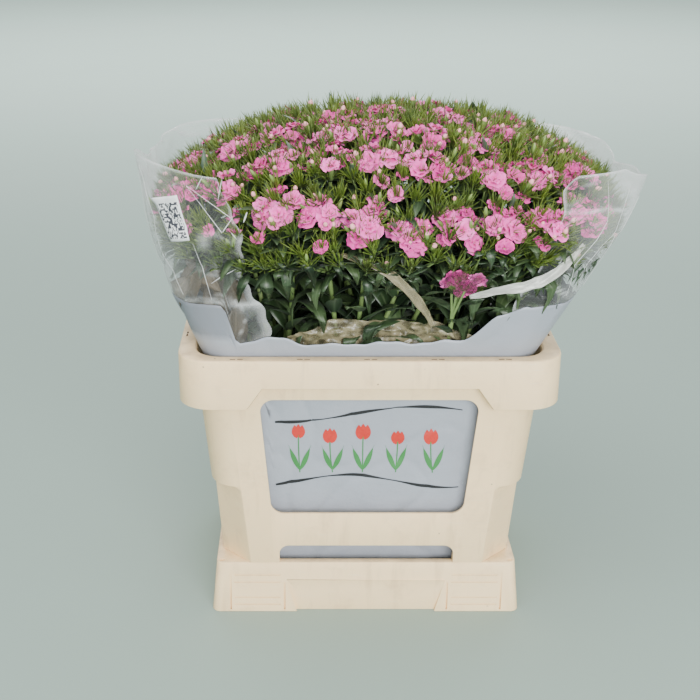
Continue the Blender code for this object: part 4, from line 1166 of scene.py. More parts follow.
def buildStrip(name, path, half, finish):
    path = [Vector(place) for place in path]
    rows, veil, steps, columns = [], [], looseForm["stripSteps"], looseForm["stripColumns"]
    for step in range(steps + 1):
        share = step / steps * (len(path) - 1)
        index = min(int(share), len(path) - 2)
        t = share - index
        before, after = path[max(index - 1, 0)], path[min(index + 2, len(path) - 1)]
        a, b = path[index], path[index + 1]
        place = 0.5 * (2 * a + (b - before) * t + (2 * before - 5 * a + 4 * b - after) * t * t
                       + (3 * a - before - 3 * b + after) * t ** 3)
        along = (b - a).normalized()
        out = along.cross(Vector((0, -1, 0.25))).normalized()
        places, shown = [], []
        for column in range(columns + 1):
            x = 2 * column / columns - 1
            width = half * (0.35 + 0.65 * math.sin(math.pi * min(max(step / steps, 0.04), 0.96)))
            ragged = 1 + 0.25 * noise.noise(place * 90 + Vector((0, x * 3, 0)))
            fold = 0.0026 * noise.noise(place * 60 + Vector((x * 1.4, 0, 5)))
            places.append(place + out * x * width * ragged + Vector((0, -1, 0)) * (fold + 0.002 * x * x))
            shown.append(0.40 + 0.45 * ridge(place + Vector((0, 0, x * 0.02)), 60.0, 3.0, 3.0))
        rows.append(places)
        veil.append(shown)
    piece = gridPiece(name, rows, veil, finish)
    return piece


# both loose films run by noise from a dark to a light colour, partly their own colour, partly painted
# highlight and shade on their crinkles
looseFinishes = {"brown": filmFinish("brownFilm", (0.085, 0.072, 0.032), (0.50, 0.44, 0.27), 0.28, 0.8),
                 "pale": filmFinish("paleFilm", (0.58, 0.59, 0.52), (0.85, 0.86, 0.82), 0.25, 0.8)}
crumple = buildCrumple(looseFinishes["brown"])
strips = [buildStrip(name, path, half, looseFinishes[kind])
          for name, (path, half, kind) in looseForm["strips"].items()]
print("print, label and loose film")


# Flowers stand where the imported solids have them

flowerForm = {
    "seed": 11, "domeMiddle": 0.0235, "domeHalf": (0.289, 0.225), "domeTop": 0.604, "domeDrop": 0.095,
    "domePower": 2.6, "lean": (0.55, 0.60), "hangLean": 20.0, "knobDrop": 0.027, "counts": (3, 3, 4),
    "pitch": 0.0265, "radius": 0.0125, "vary": (0.94, 1.04), "depth": 0.008, "tilt": (0.25, 0.50),
    "stagger": 0.0025, "forkStart": 0.090, "forkStep": 0.030, "stemRise": 0.40, "stemLead": 0.34,
    "hangs": {27: 0.052, 18: 0.010, 14: 0.012},
}
bunches = {
    "left_front": ((-0.112, -0.062),
                   ((-0.224, -0.085), (-0.170, -0.128), (-0.112, -0.118), (-0.105, -0.178))),
    "left_middle": ((-0.115, -0.005),
                    ((-0.222, 0.020), (-0.158, -0.040), (-0.096, -0.052), (-0.122, 0.012))),
    "left_back": ((-0.100, 0.062), ((-0.185, 0.095), (-0.105, 0.085), (-0.085, 0.155), (-0.160, 0.160))),
    "front": ((-0.032, -0.084), ((-0.062, -0.192), (-0.012, -0.202), (0.040, -0.206))),
    "heart_front": ((0.010, -0.052), ((-0.052, -0.130), (0.004, -0.128), (0.060, -0.140), (0.090, -0.196))),
    "heart": ((-0.030, -0.010), ((-0.040, -0.068), (0.014, -0.060), (0.066, -0.082), (-0.042, 0.004))),
    "back": ((-0.010, 0.060), ((0.022, 0.022), (-0.020, 0.085), (0.035, 0.145), (0.075, 0.075))),
    "right_front": ((0.108, -0.074), ((0.104, -0.222), (0.142, -0.200), (0.196, -0.185), (0.236, -0.150))),
    "right_middle": ((0.072, -0.036), ((0.118, -0.090), (0.140, -0.142), (0.190, -0.125), (0.242, -0.075))),
    "right_back": ((0.110, 0.008), ((0.158, -0.032), (0.095, 0.005), (0.175, 0.055), (0.248, 0.005))),
    "right_far": ((0.095, 0.075), ((0.100, 0.135), (0.165, 0.120), (0.230, 0.080))),
}


def domeHeight(x, y):
    form = flowerForm
    u, v = abs(x - form["domeMiddle"]) / form["domeHalf"][0], abs(y) / form["domeHalf"][1]
    return form["domeTop"] - form["domeDrop"] * (u ** form["domePower"] + v ** form["domePower"])


def domeAxis(x, y, hang=0.0):
    form = flowerForm
    more = 1 + hang * form["hangLean"]
    return Vector(((x - form["domeMiddle"]) / form["domeHalf"][0] * form["lean"][0] * more,
                   y / form["domeHalf"][1] * form["lean"][1] * more, 1)).normalized()


def makeHead(number, x, y):
    form = flowerForm
    draw = random.Random(form["seed"] * 1000 + number)
    hang = form["hangs"].get(number, 0.0)
    place, axis = Vector((x, y, domeHeight(x, y) - hang)), domeAxis(x, y, hang)
    first, second = across(axis)
    count = draw.choice(form["counts"])
    spread = form["pitch"] / (2 * math.sin(math.pi / count))
    start = draw.uniform(0, 2 * math.pi)
    blooms = []
    for index in range(count):
        angle = start + 2 * math.pi * index / count
        side = around(first, second, angle)
        face = (axis + side * draw.uniform(*form["tilt"])).normalized()
        middle = place + side * spread + axis * draw.uniform(-1, 1) * form["stagger"]
        radius = form["radius"] * draw.uniform(*form["vary"])
        blooms.append((middle, face, radius, draw.uniform(0, 2 * math.pi)))
    return {"number": number, "place": place, "axis": axis,
            "knob": place - axis * form["knobDrop"], "blooms": blooms}


def listHeads():
    heads, number = {}, 0
    for name, (_, places) in bunches.items():
        heads[name] = []
        for x, y in places:
            heads[name].append(makeHead(number, x, y))
            number += 1
    return heads


def branchPoint(start, head, share):
    form = flowerForm
    end = head["knob"]
    reach = end.z - start.z
    first = start + Vector((0, 0, reach * form["stemRise"]))
    second = end - head["axis"] * reach * form["stemLead"]
    t, u = share, 1 - share
    place = start * u ** 3 + first * 3 * t * u * u + second * 3 * t * t * u + end * t ** 3
    ahead = (first - start) * u * u + (second - first) * 2 * t * u + (end - second) * t * t
    return place, ahead.normalized()


def standOn(face, turn):
    first, second = across(face)
    right = around(first, second, turn)
    return Matrix((right, face.cross(right), face)).transposed().to_euler()


heads = listHeads()


# Shapes that are copied: blooms, calyxes, buds, needles and leaves, each about one unit long

def shapeWith(name, points, faces, along, side=None):
    shape = addPiece(name, points, faces)
    setValues(shape, "along", along)
    setValues(shape, "side", side or [0.0] * len(along))
    return shape


bloomForm = {
    # a bloom's layers: petals, reach, rise, ruffle, width of the fan
    "full": ((6, 1.08, 0.14, 0.10, 1.45), (5, 0.90, 0.52, 0.13, 1.40), (4, 0.62, 0.95, 0.14, 1.35),
             (3, 0.42, 1.25, 0.10, 1.30)),
    "loose": ((5, 1.12, 0.10, 0.13, 1.40), (4, 0.80, 0.62, 0.17, 1.45), (3, 0.48, 1.10, 0.12, 1.40)),
    "half": ((5, 0.98, 1.02, 0.10, 1.30), (4, 0.80, 1.22, 0.12, 1.30)),
    "kinds": ("full", "full", "loose", "loose", "half", "half"),
    "columns": 8, "rows": 5, "tooth": 0.045,
}


def makeBloom(kind):
    # layers of fan petals, each layer shorter and more upright, with waved and toothed edges
    form = bloomForm
    draw = random.Random(300 + kind)
    points, faces, along, side = [], [], [], []
    layers = form[form["kinds"][kind]]
    for level, (count, reach, rise, ruffle, fan) in enumerate(layers):
        turnBy = draw.uniform(0, 2 * math.pi)
        for petal in range(count):
            middle = turnBy + 2 * math.pi * (petal + draw.uniform(-0.20, 0.20)) / count
            lift = rise + draw.uniform(-0.20, 0.22)
            long = reach * draw.uniform(0.84, 1.08)
            phase, waves = draw.uniform(0, 6.28), draw.uniform(1.6, 2.9)
            curl = draw.uniform(0.05, 0.40)
            tooth = draw.uniform(0.4, 1.6) * form["tooth"]
            start = len(points)
            for row in range(form["rows"]):
                s = row / (form["rows"] - 1)
                for column in range(form["columns"]):
                    t = 2 * column / (form["columns"] - 1) - 1
                    angle = middle + t * math.pi / count * fan * (0.42 + 0.58 * s)
                    far = long * (0.06 + 0.94 * s) * (1 - 0.13 * t * t * s)
                    if row == form["rows"] - 1:
                        far *= 1 - tooth * (column % 2) - draw.uniform(0, 0.04)
                    wave = ruffle * s ** 1.5 * math.sin(t * waves * 2.0 + phase)
                    flat = far * math.cos(lift * (1 - 0.45 * s))
                    high = (far * math.sin(lift * (1 - 0.35 * s)) - curl * s ** 3 * long * 0.5
                            + wave + level * 0.035)
                    points.append((flat * math.cos(angle), flat * math.sin(angle), high))
                    along.append(s)
                    side.append(level / 3)
            faces += [tuple(start + i for i in face) for face in gridFaces(form["columns"], form["rows"])]
    return shapeWith("bloom%d" % kind, points, faces, along, side)


def makeLathe(name, profile, sides):
    # profile is (height, radius, along) from the foot up, closed to a point at both ends
    points, faces, along = [], [], []
    for height, radius, share in profile:
        for step in range(sides):
            angle = 2 * math.pi * step / sides
            points.append((radius * math.cos(angle), radius * math.sin(angle), height))
            along.append(share)
    faces = gridFaces(sides, len(profile), True)
    low, high = len(points), len(points) + 1
    points += [(0, 0, profile[0][0]), (0, 0, profile[-1][0])]
    along += [profile[0][2], profile[-1][2]]
    last = (len(profile) - 1) * sides
    faces += [(low, (step + 1) % sides, step) for step in range(sides)]
    faces += [(high, last + step, last + (step + 1) % sides) for step in range(sides)]
    return shapeWith(name, points, faces, along)


def makeBlade(name, half, thick, rows, columns, outline, bend, fold, twist=0.0, wave=0.0):
    # a thin closed leaf along +Y, one unit long; outline gives its width at each share of its length
    points, faces, along, side = [], [], [], []
    count = columns * rows
    for layer in (0, 1):
        for row in range(rows):
            s = row / (rows - 1)
            spot = s * (len(outline) - 1)
            index = min(int(spot), len(outline) - 2)
            width = half * blend(outline[index], outline[index + 1], spot - index)
            turn = twist * s
            lean = bend * s * s
            for column in range(columns):
                t = 2 * column / (columns - 1) - 1
                x = t * width
                z = fold * abs(t) * width + wave * width * math.sin(s * 11 + t * 2) * abs(t)
                z -= layer * thick * (1 - 0.85 * abs(t)) * (0.25 + 0.75 * (1 - s))
                x, z = (x * math.cos(turn) - z * math.sin(turn),
                        x * math.sin(turn) + z * math.cos(turn))
                points.append((x, s * (1 - 0.28 * lean * lean * s), z - lean * s * 0.62))
                along.append(s)
                side.append(t)
    top = gridFaces(columns, rows)
    faces = top + [tuple(count + i for i in reversed(face)) for face in top]
    edge = list(range(columns)) + [row * columns + columns - 1 for row in range(1, rows)]
    edge += [(rows - 1) * columns + column for column in range(columns - 2, -1, -1)]
    edge += [row * columns for row in range(rows - 2, 0, -1)]
    faces += [(a, a + count, b + count, b) for a, b in zip(edge, edge[1:] + edge[:1])]
    return shapeWith(name, points, faces, along, side)


def makeNeedle(name, half, bend):
    # three sides, a keel below, drawn to a point
    points, faces, along = [], [], []
    profile = ((0.0, 0.75), (0.35, 1.0), (0.72, 0.62))
    for s, width in profile:
        drop = -bend * s * s
        points += [(-half * width, s, drop + half * 0.3), (0.0, s, drop - half * 0.7 * width),
                   (half * width, s, drop + half * 0.3)]
        along += [s] * 3
    points.append((0.0, 1.0, -bend))
    along.append(1.0)
    for row in range(2):
        for step in range(3):
            after = (step + 1) % 3
            faces.append((row * 3 + step, row * 3 + after, row * 3 + 3 + after, row * 3 + 3 + step))
    faces += [(6 + step, 6 + (step + 1) % 3, 9) for step in range(3)] + [(2, 1, 0)]
    return shapeWith(name, points, faces, along)


lanceOutline = (0.22, 0.66, 0.90, 1.0, 0.97, 0.86, 0.68, 0.42, 0.04)


def leafShapes():
    kinds = {"leafA": (0.185, 0.55, 0.24), "leafB": (0.205, 1.05, 0.20, 0.35),
             "leafC": (0.165, 0.25, 0.32, -0.30), "leafD": (0.190, 1.45, 0.16, -0.45, 0.05)}
    return [makeBlade(name, half, 0.012, 9, 5, lanceOutline, *bends)
            for name, (half, *bends) in kinds.items()]


def underShapes():
    return [makeBlade("underA", 0.11, 0.012, 5, 3, (0.3, 1.0, 0.9, 0.55, 0.05), 0.5, 0.3),
            makeBlade("underB", 0.13, 0.012, 5, 3, (0.3, 0.9, 1.0, 0.6, 0.05), 0.2, 0.25, 0.3)]


def needleShapes():
    kinds = {"needleA": (0.026, 0.05), "needleB": (0.030, 0.20), "needleC": (0.024, -0.12),
             "needleD": (0.038, 0.10)}
    return [makeNeedle(name, *kind) for name, kind in kinds.items()]


def bloomShapes():
    return [makeBloom(kind) for kind in range(len(bloomForm["kinds"]))]


def calyxShapes():
    return [makeLathe("calyx",
                      ((-1.25, 0.10, 0.0), (-1.15, 0.17, 0.1), (-0.75, 0.21, 0.4), (-0.15, 0.23, 0.8),
                                (0.06, 0.27, 1.0)), 8)]


def budShapes():
    return [makeLathe("budA", ((0.0, 0.06, 0.0), (0.08, 0.16, 0.1), (0.35, 0.20, 0.35), (0.62, 0.19, 0.58),
                               (0.70, 0.22, 0.66), (0.86, 0.17, 0.85), (1.0, 0.03, 1.0)), 8),
            makeLathe("budB", ((0.0, 0.06, 0.0), (0.08, 0.14, 0.1), (0.40, 0.17, 0.40), (0.72, 0.14, 0.55),
                               (0.92, 0.07, 0.60), (1.0, 0.01, 0.62)), 7)]


# Finishes of the plant

def petalFinish():
    finish, tree, shader = newFinish("petalPink", 0.62)
    along, level, tint = attributeOf(tree, "along"), attributeOf(tree, "side"), attributeOf(tree, "tint")
    coords = objectCoords(tree)
    mottle = noiseOf(tree, coords, 210.0, 4.0)
    body = mixColour(tree, tint, (0.56, 0.012, 0.235), (0.84, 0.070, 0.430))
    edge = mixColour(tree, tint, (0.74, 0.028, 0.340), (0.93, 0.190, 0.580))
    colour = mixColour(tree, remap(tree, along, 0.45, 1.0, 0.0, 0.85), body, edge)
    deep = doMath(tree, "MULTIPLY", remap(tree, along, 0.5, 0.05), remap(tree, level, 0.0, 1.0, 0.55, 0.25))
    colour = mixColour(tree, deep, colour, (0.50, 0.020, 0.150))
    colour = mixColour(tree, remap(tree, mottle, 0.35, 0.75, 0.0, 0.20), colour, (0.95, 0.28, 0.62))
    paint(tree, shader, colour)
    shader.inputs["Subsurface Weight"].default_value = 0.18
    shader.inputs["Subsurface Radius"].default_value = (0.004, 0.0015, 0.002)
    shader.inputs["Sheen Weight"].default_value = 0.06
    addBump(tree, shader, noiseOf(tree, coords, 700.0, 3.0), 0.25, 0.0005)
    return finish


def leafFinish(name, base, middle, tip, vein, rough=0.42):
    finish, tree, shader = newFinish(name, rough)
    along, side, tint = attributeOf(tree, "along"), attributeOf(tree, "side"), attributeOf(tree, "tint")
    coords = objectCoords(tree)
    colour = mixColour(tree, remap(tree, along, 0.0, 0.5), base, middle)
    colour = mixColour(tree, remap(tree, along, 0.5, 1.0), colour, tip)
    rib = remap(tree, doMath(tree, "ABSOLUTE", side), 0.16, 0.02)
    colour = mixColour(tree, doMath(tree, "MULTIPLY", rib, 0.55), colour, vein)
    # Painted shading: each copy's random value multiplies the colour, from a darker, cooler tone for shaded
    # copies up to a brighter, warmer tone for lit copies.
    paintedShading = mixColour(tree, tint, (0.62, 0.70, 0.72), (1.30, 1.22, 1.05))
    lit = addNode(tree, "ShaderNodeMix", {0: 1.0}, data_type="RGBA", blend_type="MULTIPLY")
    tree.links.new(colour, lit.inputs[6])
    tree.links.new(paintedShading, lit.inputs[7])
    bloomy = remap(tree, noiseOf(tree, coords, 42.0, 4.0), 0.4, 0.75, 0.0, 0.22)
    paint(tree, shader, mixColour(tree, bloomy, lit.outputs[2], vein))
    shader.inputs["Sheen Weight"].default_value = 0.02
    grooves = noiseOf(tree, coords, 330.0, 2.0)
    addBump(tree, shader, grooves, 0.22, 0.0006)
    return finish


def budFinish():
    finish, tree, shader = newFinish("budSkin", 0.5)
    along = attributeOf(tree, "along")
    coords = objectCoords(tree)
    green = mixColour(tree, remap(tree, along, 0.0, 0.55), (0.07, 0.15, 0.035), (0.20, 0.30, 0.075))
    pink = mixColour(tree, noiseOf(tree, coords, 160.0, 3.0), (0.80, 0.24, 0.33), (0.90, 0.50, 0.47))
    colour = mixColour(tree, remap(tree, along, 0.60, 0.68), green, pink)
    paint(tree, shader, colour)
    addBump(tree, shader, noiseOf(tree, coords, 500.0, 2.0), 0.2, 0.0005)
    return finish


def stemFinish():
    finish, tree, shader = newFinish("stemGreen", 0.45)
    coords = objectCoords(tree)
    long = noiseOf(tree, coords, 60.0, 3.0, stretch=(1.0, 1.0, 0.15))
    colour = mixColour(tree, long, (0.085, 0.155, 0.045), (0.20, 0.29, 0.095))
    bands = noiseOf(tree, coords, 26.0, 2.0)
    colour = mixColour(tree, remap(tree, bands, 0.5, 0.7, 0.0, 0.5), colour, (0.30, 0.36, 0.15))
    paint(tree, shader, colour)
    addBump(tree, shader, long, 0.15, 0.0006)
    return finish


plantFinishes = {
    "petal": petalFinish(),
    "bud": budFinish(),
    "stem": stemFinish(),
    "needle": leafFinish("needleGreen", (0.012, 0.032, 0.003), (0.045, 0.098, 0.005), (0.150, 0.200, 0.016),
                         (0.11, 0.17, 0.018), 0.5),
    "leaf": leafFinish("leafGreen", (0.014, 0.034, 0.012), (0.024, 0.050, 0.020), (0.040, 0.072, 0.026),
                       (0.09, 0.13, 0.07)),
    "grey": leafFinish("greyLeaf", (0.035, 0.070, 0.040), (0.060, 0.105, 0.065), (0.085, 0.130, 0.080),
                       (0.14, 0.20, 0.14)),
    "calyx": leafFinish("calyxGreen", (0.05, 0.11, 0.03), (0.10, 0.19, 0.05), (0.22, 0.28, 0.10),
                        (0.2, 0.3, 0.1)),
    "dried": leafFinish("driedLeaf", (0.050, 0.036, 0.018), (0.085, 0.062, 0.032), (0.13, 0.098, 0.055),
                        (0.16, 0.125, 0.075), 0.6),
    "redTip": leafFinish("redTip", (0.045, 0.080, 0.030), (0.13, 0.070, 0.035), (0.20, 0.060, 0.035),
                         (0.22, 0.12, 0.06), 0.5),
}


# Growing the plant bunch by bunch

growForm = {
    "headNeedles": 74, "headNeedleLength": (0.026, 0.040), "headBuds": (2, 6), "budLength": (0.010, 0.015),
    "bloomGrow": 1.17, "bloomSink": 0.55, "bloomKinds": (0, 0, 1, 1, 2, 3, 4), "petalTint": (0.45, 0.38),
    "extraBlooms": (1, 2), "extraSize": (0.0095, 0.0128), "extraKinds": (2, 3, 4, 4, 5, 5),
    "extraTint": (0.40, 0.32),
    "tuftCount": 400, "tuftTries": 9000, "tuftGap": 0.0175, "tuftDepth": (0.012, 0.024), "tuftFork": 0.84,
    "tuftNeedles": (30, 46), "needleLength": (0.017, 0.030), "tuftBloomShare": 0.46, "tuftBudShare": 0.35,
    "skirtTufts": 50, "skirtHang": (0.008, 0.044), "skirtDrop": 0.008,
    "leafShares": (0.42, 0.50, 0.57, 0.63, 0.69, 0.75, 0.81, 0.87), "leafLength": (0.062, 0.096),
    "nodeSwell": 0.45, "nodeWidth": 0.012, "stemSteps": 30, "stemRadius": (0.0030, 0.0023),
    "footRadius": 0.0032, "footHeight": 0.009, "besideGap": 0.0042,
    "underLeaves": 5, "underLength": (0.034, 0.058), "greyShare": 0.18, "greyLength": (0.028, 0.044),
    "edgeMargin": 0.0022, "openMiddle": 0.02, "openHalf": 0.20, "openSpare": 0.032,
    "openHeights": (0.415, 0.07), "freeHeight": 0.572,
}
upward = Vector((0, 0, 1))
fullTurn = 6.28


def pressInside(piece):
    # what leans on the film or the container is pressed back inside it
    form, mesh = growForm, piece.data
    flat = np.empty(len(mesh.vertices) * 3)
    mesh.vertices.foreach_get("co", flat)
    co = flat.reshape(-1, 3)
    table = np.array(sleeveForm["sections"])
    z = np.clip(co[:, 2], table[0, 0], table[-1, 0])
    halfX, halfY, corner, shift = (np.interp(z, table[:, 0], table[:, k]) for k in (1, 2, 3, 4))
    x, y = co[:, 0] - shift, co[:, 1]
    inX, inY = np.abs(x) - (halfX - corner), np.abs(y) - (halfY - corner)
    far = np.hypot(np.maximum(inX, 0), np.maximum(inY, 0))
    over = np.maximum(far + np.minimum(np.maximum(inX, inY), 0) - corner + form["edgeMargin"], 0)
    openFront = (co[:, 1] < 0) & (np.abs(co[:, 0] - form["openMiddle"]) < form["openHalf"])
    low, rise = form["openHeights"]
    spare = form["openSpare"] * np.clip((co[:, 2] - low) / rise, 0, 1)
    over = np.where(openFront, np.maximum(over - spare, 0), over)
    over = np.where(co[:, 2] > form["freeHeight"], 0, over)
    for axis, inside, value, nearer in ((0, inX, x, inX > inY), (1, inY, y, inX <= inY)):
        unit = np.where(far > 1e-6, np.maximum(inside, 0) / np.maximum(far, 1e-6), nearer * 1.0)
        co[:, axis] -= unit * np.sign(value) * over
    mesh.vertices.foreach_set("co", co.ravel())
    mesh.update()


def nearestHead(x, y):
    everyHead = [(name, head) for name, group in heads.items() for head in group]
    return min(everyHead, key=lambda entry: (entry[1]["place"].x - x) ** 2
               + (entry[1]["place"].y - y) ** 2)


def listTufts():
    # side shoots spread over the dome, each with the bunch whose head is nearest
    form, (halfX, halfY) = growForm, flowerForm["domeHalf"]
    middle, power = flowerForm["domeMiddle"], flowerForm["domePower"]
    draw = random.Random(77)
    tufts, tries = [], 0
    while len(tufts) < form["tuftCount"] and tries < form["tuftTries"]:
        tries += 1
        x = middle + draw.uniform(-1, 1) * halfX
        y = draw.uniform(-1, 1) * halfY
        if abs((x - middle) / halfX) ** power + abs(y / halfY) ** power > 1.0:
            continue
        if any((x - other[1].x) ** 2 + (y - other[1].y) ** 2 < form["tuftGap"] ** 2 for other in tufts):
            continue
        name, head = nearestHead(x, y)
        tufts.append((name, Vector((x, y, domeHeight(x, y))), domeAxis(x, y), head))
    for index in range(form["skirtTufts"]):
        # lower shoots leaning out round the front and the sides
        angle = math.pi * (-0.08 - 0.84 * (index + draw.uniform(0.1, 0.9)) / form["skirtTufts"])
        u, v = (math.copysign(abs(f(angle)) ** 0.77, f(angle)) * 0.97 for f in (math.cos, math.sin))
        x, y = middle + u * halfX, v * halfY
        hang = draw.uniform(*form["skirtHang"])
        name, head = nearestHead(x, y)
        tufts.append((name, Vector((x, y, domeHeight(x, y) - hang)), domeAxis(x, y, hang), head))
    return tufts


def headNumbers(name):
    return ["blooms_%02d" % (head["number"] + 1) for head in heads[name]]


def pieceName(kind, name):
    return kind + "".join(word.capitalize() for word in name.split("_"))


def limited(value):
    return min(max(value, 0.0), 1.0)


def putCopy(place, turn, length, kinds, draw):
    # the last value is a random tint; on leaves it picks their painted shading
    return (place, turn, (length,) * 3, draw.randrange(kinds), draw.random())


def putNeedle(root, heading, length, draw, tint):
    lift = Vector((draw.uniform(-1, 1), draw.uniform(-1, 1), 1.2))
    return (root, turnTo(heading, lift), (length,) * 3, draw.randrange(4), tint)


def addTube(grown, radii, *points):
    grown["stems"].append(list(zip(points, radii)))


def addBloom(grown, foothold, face, turn, size, kinds, tint, draw):
    facing = standOn(face, turn)
    grown["blooms"].append((foothold, facing, (size,) * 3, draw.choice(kinds), tint))
    grown["calyxes"].append((foothold + face * 0.001, facing, (size,) * 3, 0, draw.random()))


def addSideBloom(grown, place, face, base, draw):
    # a smaller bloom beside the others, half open or seen from its side
    size = draw.uniform(*growForm["extraSize"])
    turn, tint = draw.uniform(0, fullTurn), limited(draw.gauss(*growForm["extraTint"]))
    foothold = place - face * 0.004
    addBloom(grown, foothold, face, turn, size, growForm["extraKinds"], tint, draw)
    addTube(grown, (0.0012,) * 3, base, base.lerp(place, 0.45), foothold - face * 0.008)


def growStalk(foot, index, head, grown, draw):
    # a stalk with thicker nodes and a pair of leaves at each; gives back the point it curves from
    form = growForm
    beside = Vector((math.cos(index * 1.7 + 0.4), math.sin(index * 1.7 + 0.4), 0)) * form["besideGap"]
    low = Vector((*foot, form["footHeight"])) + beside
    start = Vector((*foot, flowerForm["forkStart"] + flowerForm["forkStep"] * index)) + beside
    path = [(low, form["footRadius"]), (start, form["footRadius"])]
    nodes = form["leafShares"]
    for step in range(1, form["stemSteps"] + 1):
        share = step / form["stemSteps"]
        nearest = max(math.exp(-((share - node) / form["nodeWidth"]) ** 2) for node in nodes)
        radius = blend(*form["stemRadius"], share) * (1 + form["nodeSwell"] * nearest)
        path.append((branchPoint(start, head, share)[0], radius))
    grown["stems"].append(path)
    turn = draw.uniform(0, math.pi)
    for level, share in enumerate(nodes):
        place, ahead = branchPoint(start, head, share)
        turn += math.pi / 2 + draw.uniform(-0.5, 0.5)
        for side in (0, math.pi):
            out = Vector((math.cos(turn + side), math.sin(turn + side), 0))
            heading = (out + ahead * draw.uniform(0.5, 1.5)).normalized()
            length = draw.uniform(*form["leafLength"]) * (1 - 0.05 * level)
            grown["leaves"].append(putCopy(place, turnTo(heading, upward), length, 4, draw))
    return start


def growHead(head, grown, draw):
    # the blooms of one head on their tubes, a few more beside them, buds and needles
    form = growForm
    base, axis, centre = head["knob"], head["axis"], head["place"]
    first, second = across(axis)
    for middle, face, radius, spin in head["blooms"]:
        tint = limited(draw.gauss(*form["petalTint"]))
        foothold = middle - face * flowerForm["depth"] * form["bloomSink"]
        addBloom(grown, foothold, face, spin, radius * form["bloomGrow"], form["bloomKinds"], tint, draw)
        addTube(grown, (0.0017, 0.0016, 0.0016), base + axis * 0.002, base.lerp(middle, 0.35),
                foothold - face * 0.014)
    for _ in range(draw.randint(*form["extraBlooms"])):
        angle, out = draw.uniform(0, fullTurn), draw.uniform(0.020, 0.034)
        side = around(first, second, angle)
        addSideBloom(grown, centre + side * out - axis * draw.uniform(0.004, 0.012),
                     (axis + side * draw.uniform(0.4, 1.1)).normalized(), base, draw)
    for _ in range(draw.randint(*form["headBuds"])):
        angle, out = draw.uniform(0, fullTurn), draw.uniform(0.006, 0.026)
        side = around(first, second, angle)
        aim = (axis + side * draw.uniform(0.1, 0.8)).normalized()
        place = centre + side * out - axis * draw.uniform(0.004, 0.014)
        length = draw.uniform(*form["budLength"])
        grown["buds"].append(putCopy(place, standOn(aim, angle), length, 2, draw))
        addTube(grown, (0.0012, 0.0011, 0.0010), base, base.lerp(place, 0.5) - axis * 0.002,
                place + aim * 0.001)
    for _ in range(form["headNeedles"]):
        side = around(first, second, draw.uniform(0, fullTurn))
        heading = (axis + side * draw.uniform(0.2, 1.5)).normalized()
        root = base + axis * draw.uniform(-0.004, 0.012) + side * 0.004
        length = draw.uniform(*form["headNeedleLength"])
        grown["needles"].append(putNeedle(root, heading, length, draw, draw.random()))


def growTuft(place, axis, head, start, grown, draw):
    # a side shoot: needles, leaves below them, and now and then a bloom, a bud or a grey leaf
    form = growForm
    # the needles of a tuft share one painted shading, from shaded to lit, and each needle strays a little
    # from it
    tint = draw.random()
    first, second = across(axis)
    fork, _ = branchPoint(start, head, form["tuftFork"])
    root = place - axis * draw.uniform(*form["tuftDepth"])
    addTube(grown, (0.0016, 0.0014, 0.0012, 0.0009), fork, fork.lerp(root, 0.5) - axis * 0.004, root,
            root + axis * 0.008)
    for _ in range(draw.randint(*form["tuftNeedles"])):
        side = around(first, second, draw.uniform(0, fullTurn))
        heading = (axis + side * abs(draw.gauss(0.0, 0.55))).normalized()
        length = draw.uniform(*form["needleLength"])
        base = root + side * 0.0015 + axis * draw.uniform(-0.002, 0.008)
        paintedShading = limited(tint + draw.uniform(-0.25, 0.25))
        grown["needles"].append(putNeedle(base, heading, length, draw, paintedShading))
    for _ in range(form["underLeaves"]):
        side = around(first, second, draw.uniform(0, fullTurn))
        heading = (side + axis * draw.uniform(0.1, 0.9)).normalized()
        low = fork.lerp(root, draw.uniform(0.2, 1.0)) - axis * 0.004
        length = draw.uniform(*form["underLength"])
        grown["sprigs"].append(putCopy(low, turnTo(heading, upward), length, 2, draw))
    if draw.random() < form["greyShare"]:
        heading = (axis + first * draw.uniform(-1, 1) + second * draw.uniform(-1, 1)).normalized()
        length = draw.uniform(*form["greyLength"])
        grown["greyLeaves"].append(putCopy(root, turnTo(heading, upward), length, 2, draw))
    skirt = place.z < domeHeight(place.x, place.y) - form["skirtDrop"]
    if draw.random() < form["tuftBloomShare"] and not skirt:
        face = (axis + first * draw.uniform(-0.7, 0.7) + second * draw.uniform(-0.7, 0.7)).normalized()
        addSideBloom(grown, place - axis * draw.uniform(0.002, 0.010), face, root, draw)
    if draw.random() < form["tuftBudShare"]:
        aim = (axis + first * draw.uniform(-0.4, 0.4)).normalized()
        length = draw.uniform(*form["budLength"])
        grown["buds"].append(putCopy(root + axis * 0.014, standOn(aim, 0.0), length, 2, draw))
        addTube(grown, (0.0011, 0.0010), root, root + axis * 0.015)


copiedKinds = {
    # each kind's shapes, its finish, and how much the sizes of its copies vary
    "blooms": (bloomShapes, "petal", 0.05),
    "calyxes": (calyxShapes, "calyx", 0.08),
    "buds": (budShapes, "bud", 0.08),
    "needles": (needleShapes, "needle", 0.08),
    "leaves": (leafShapes, "leaf", 0.08),
    "sprigs": (underShapes, "leaf", 0.08),
    "greyLeaves": (underShapes, "grey", 0.08),
}


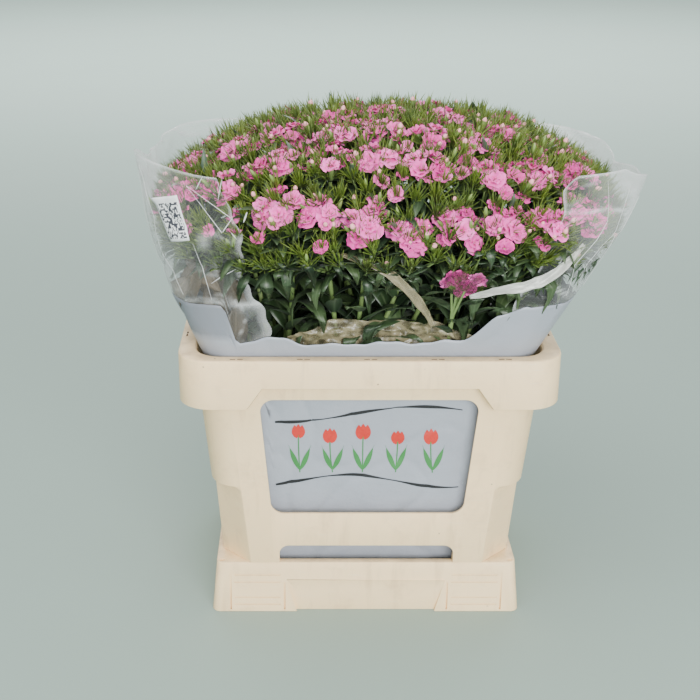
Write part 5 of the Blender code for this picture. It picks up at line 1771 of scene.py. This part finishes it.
def growBunch(name, tufts):
    draw = random.Random(5000 + heads[name][0]["number"])
    grown = {kind: [] for kind in (*copiedKinds, "stems")}
    starts = {}
    for index, head in enumerate(heads[name]):
        starts[head["number"]] = growStalk(bunches[name][0], index, head, grown, draw)
        growHead(head, grown, draw)
    for owner, place, axis, head in tufts:
        if owner == name:
            growTuft(place, axis, head, starts[head["number"]], grown, draw)
    pieces = []
    for seed, (kind, (shapes, finish, vary)) in enumerate(copiedKinds.items(), 1):
        pieces.append(placeCopies(pieceName(kind, name), grown[kind], shapes(),
                                  plantFinishes[finish], vary=vary, seed=seed))
    pieces.append(sweepTubes(pieceName("stems", name), grown["stems"], plantFinishes["stem"]))
    for piece in pieces:
        petals = piece is pieces[0]
        pressInside(piece)
        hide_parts(*(headNumbers(name) if petals else ["stems_" + name]))
    return pieces


tufts = listTufts()
plant = []
for bunchName in bunches:
    plant += growBunch(bunchName, tufts)


# Dried leaves behind the film on the left, and the reddened tips among the flowers

oddForm = {
    "driedLow": (-0.215, -0.130, 0.395), "driedHigh": (-0.150, -0.085, 0.455), "driedCount": 12,
    "driedLength": (0.050, 0.085), "tipLength": (0.032, 0.046), "tipSink": 0.028,
    "tips": ((-0.095, 0.049, 0.598), (0.045, 0.069, 0.600), (0.110, 0.003, 0.600), (0.268, -0.020, 0.545)),
}


def buildOddLeaves():
    form, draw = oddForm, random.Random(404)
    dried, tips = [], []
    for _ in range(form["driedCount"]):
        place = Vector([draw.uniform(low, high) for low, high in zip(form["driedLow"], form["driedHigh"])])
        heading = Vector((draw.uniform(-0.6, 0.9), draw.uniform(-0.4, 0.2), draw.uniform(-1.4, -0.2)))
        turn = turnTo(heading.normalized(), Vector((draw.uniform(-1, 1), -1.5, 0.3)))
        dried.append(putCopy(place, turn, draw.uniform(*form["driedLength"]), 4, draw))
    for place in form["tips"]:
        for _ in range(2):
            heading = Vector((draw.uniform(-0.5, 0.5), draw.uniform(-0.5, 0.5), 1)).normalized()
            turn = turnTo(heading, Vector((0.3, -1, 0.2)))
            tips.append(putCopy(Vector(place) - heading * form["tipSink"], turn,
                                draw.uniform(*form["tipLength"]), 2, draw))
    pieces = [placeCopies("driedLeaves", dried, leafShapes(), plantFinishes["dried"], seed=8),
              placeCopies("redTips", tips, underShapes(), plantFinishes["redTip"], seed=9)]
    for piece, node in zip(pieces, ("stems_left_front", "stems_heart")):
        pressInside(piece)
        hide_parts(node)
    return pieces


plant += buildOddLeaves()
print("plant,", len(tufts), "tufts,", sum(len(piece.data.polygons) for piece in plant), "faces")


# Water keeps its solid and gets a better finish

def waterFinish():
    finish, tree, shader = newFinish("stillWater", 0.06)
    ripple = noiseOf(tree, objectCoords(tree), 30.0, 3.0)
    paint(tree, shader, mixColour(tree, ripple, (0.30, 0.34, 0.28), (0.42, 0.47, 0.40)))
    shader.inputs["Transmission Weight"].default_value = 0.8
    shader.inputs["IOR"].default_value = 1.33
    addBump(tree, shader, ripple, 0.08, 0.002)
    return finish


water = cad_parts["water"]
water.material_slots[0].material = waterFinish()

for piece in [tray, collar, whiteSleeve, clearSleeve, paintedGlints, sticker, crumple] + strips + prints + plant:
    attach(piece, "root")

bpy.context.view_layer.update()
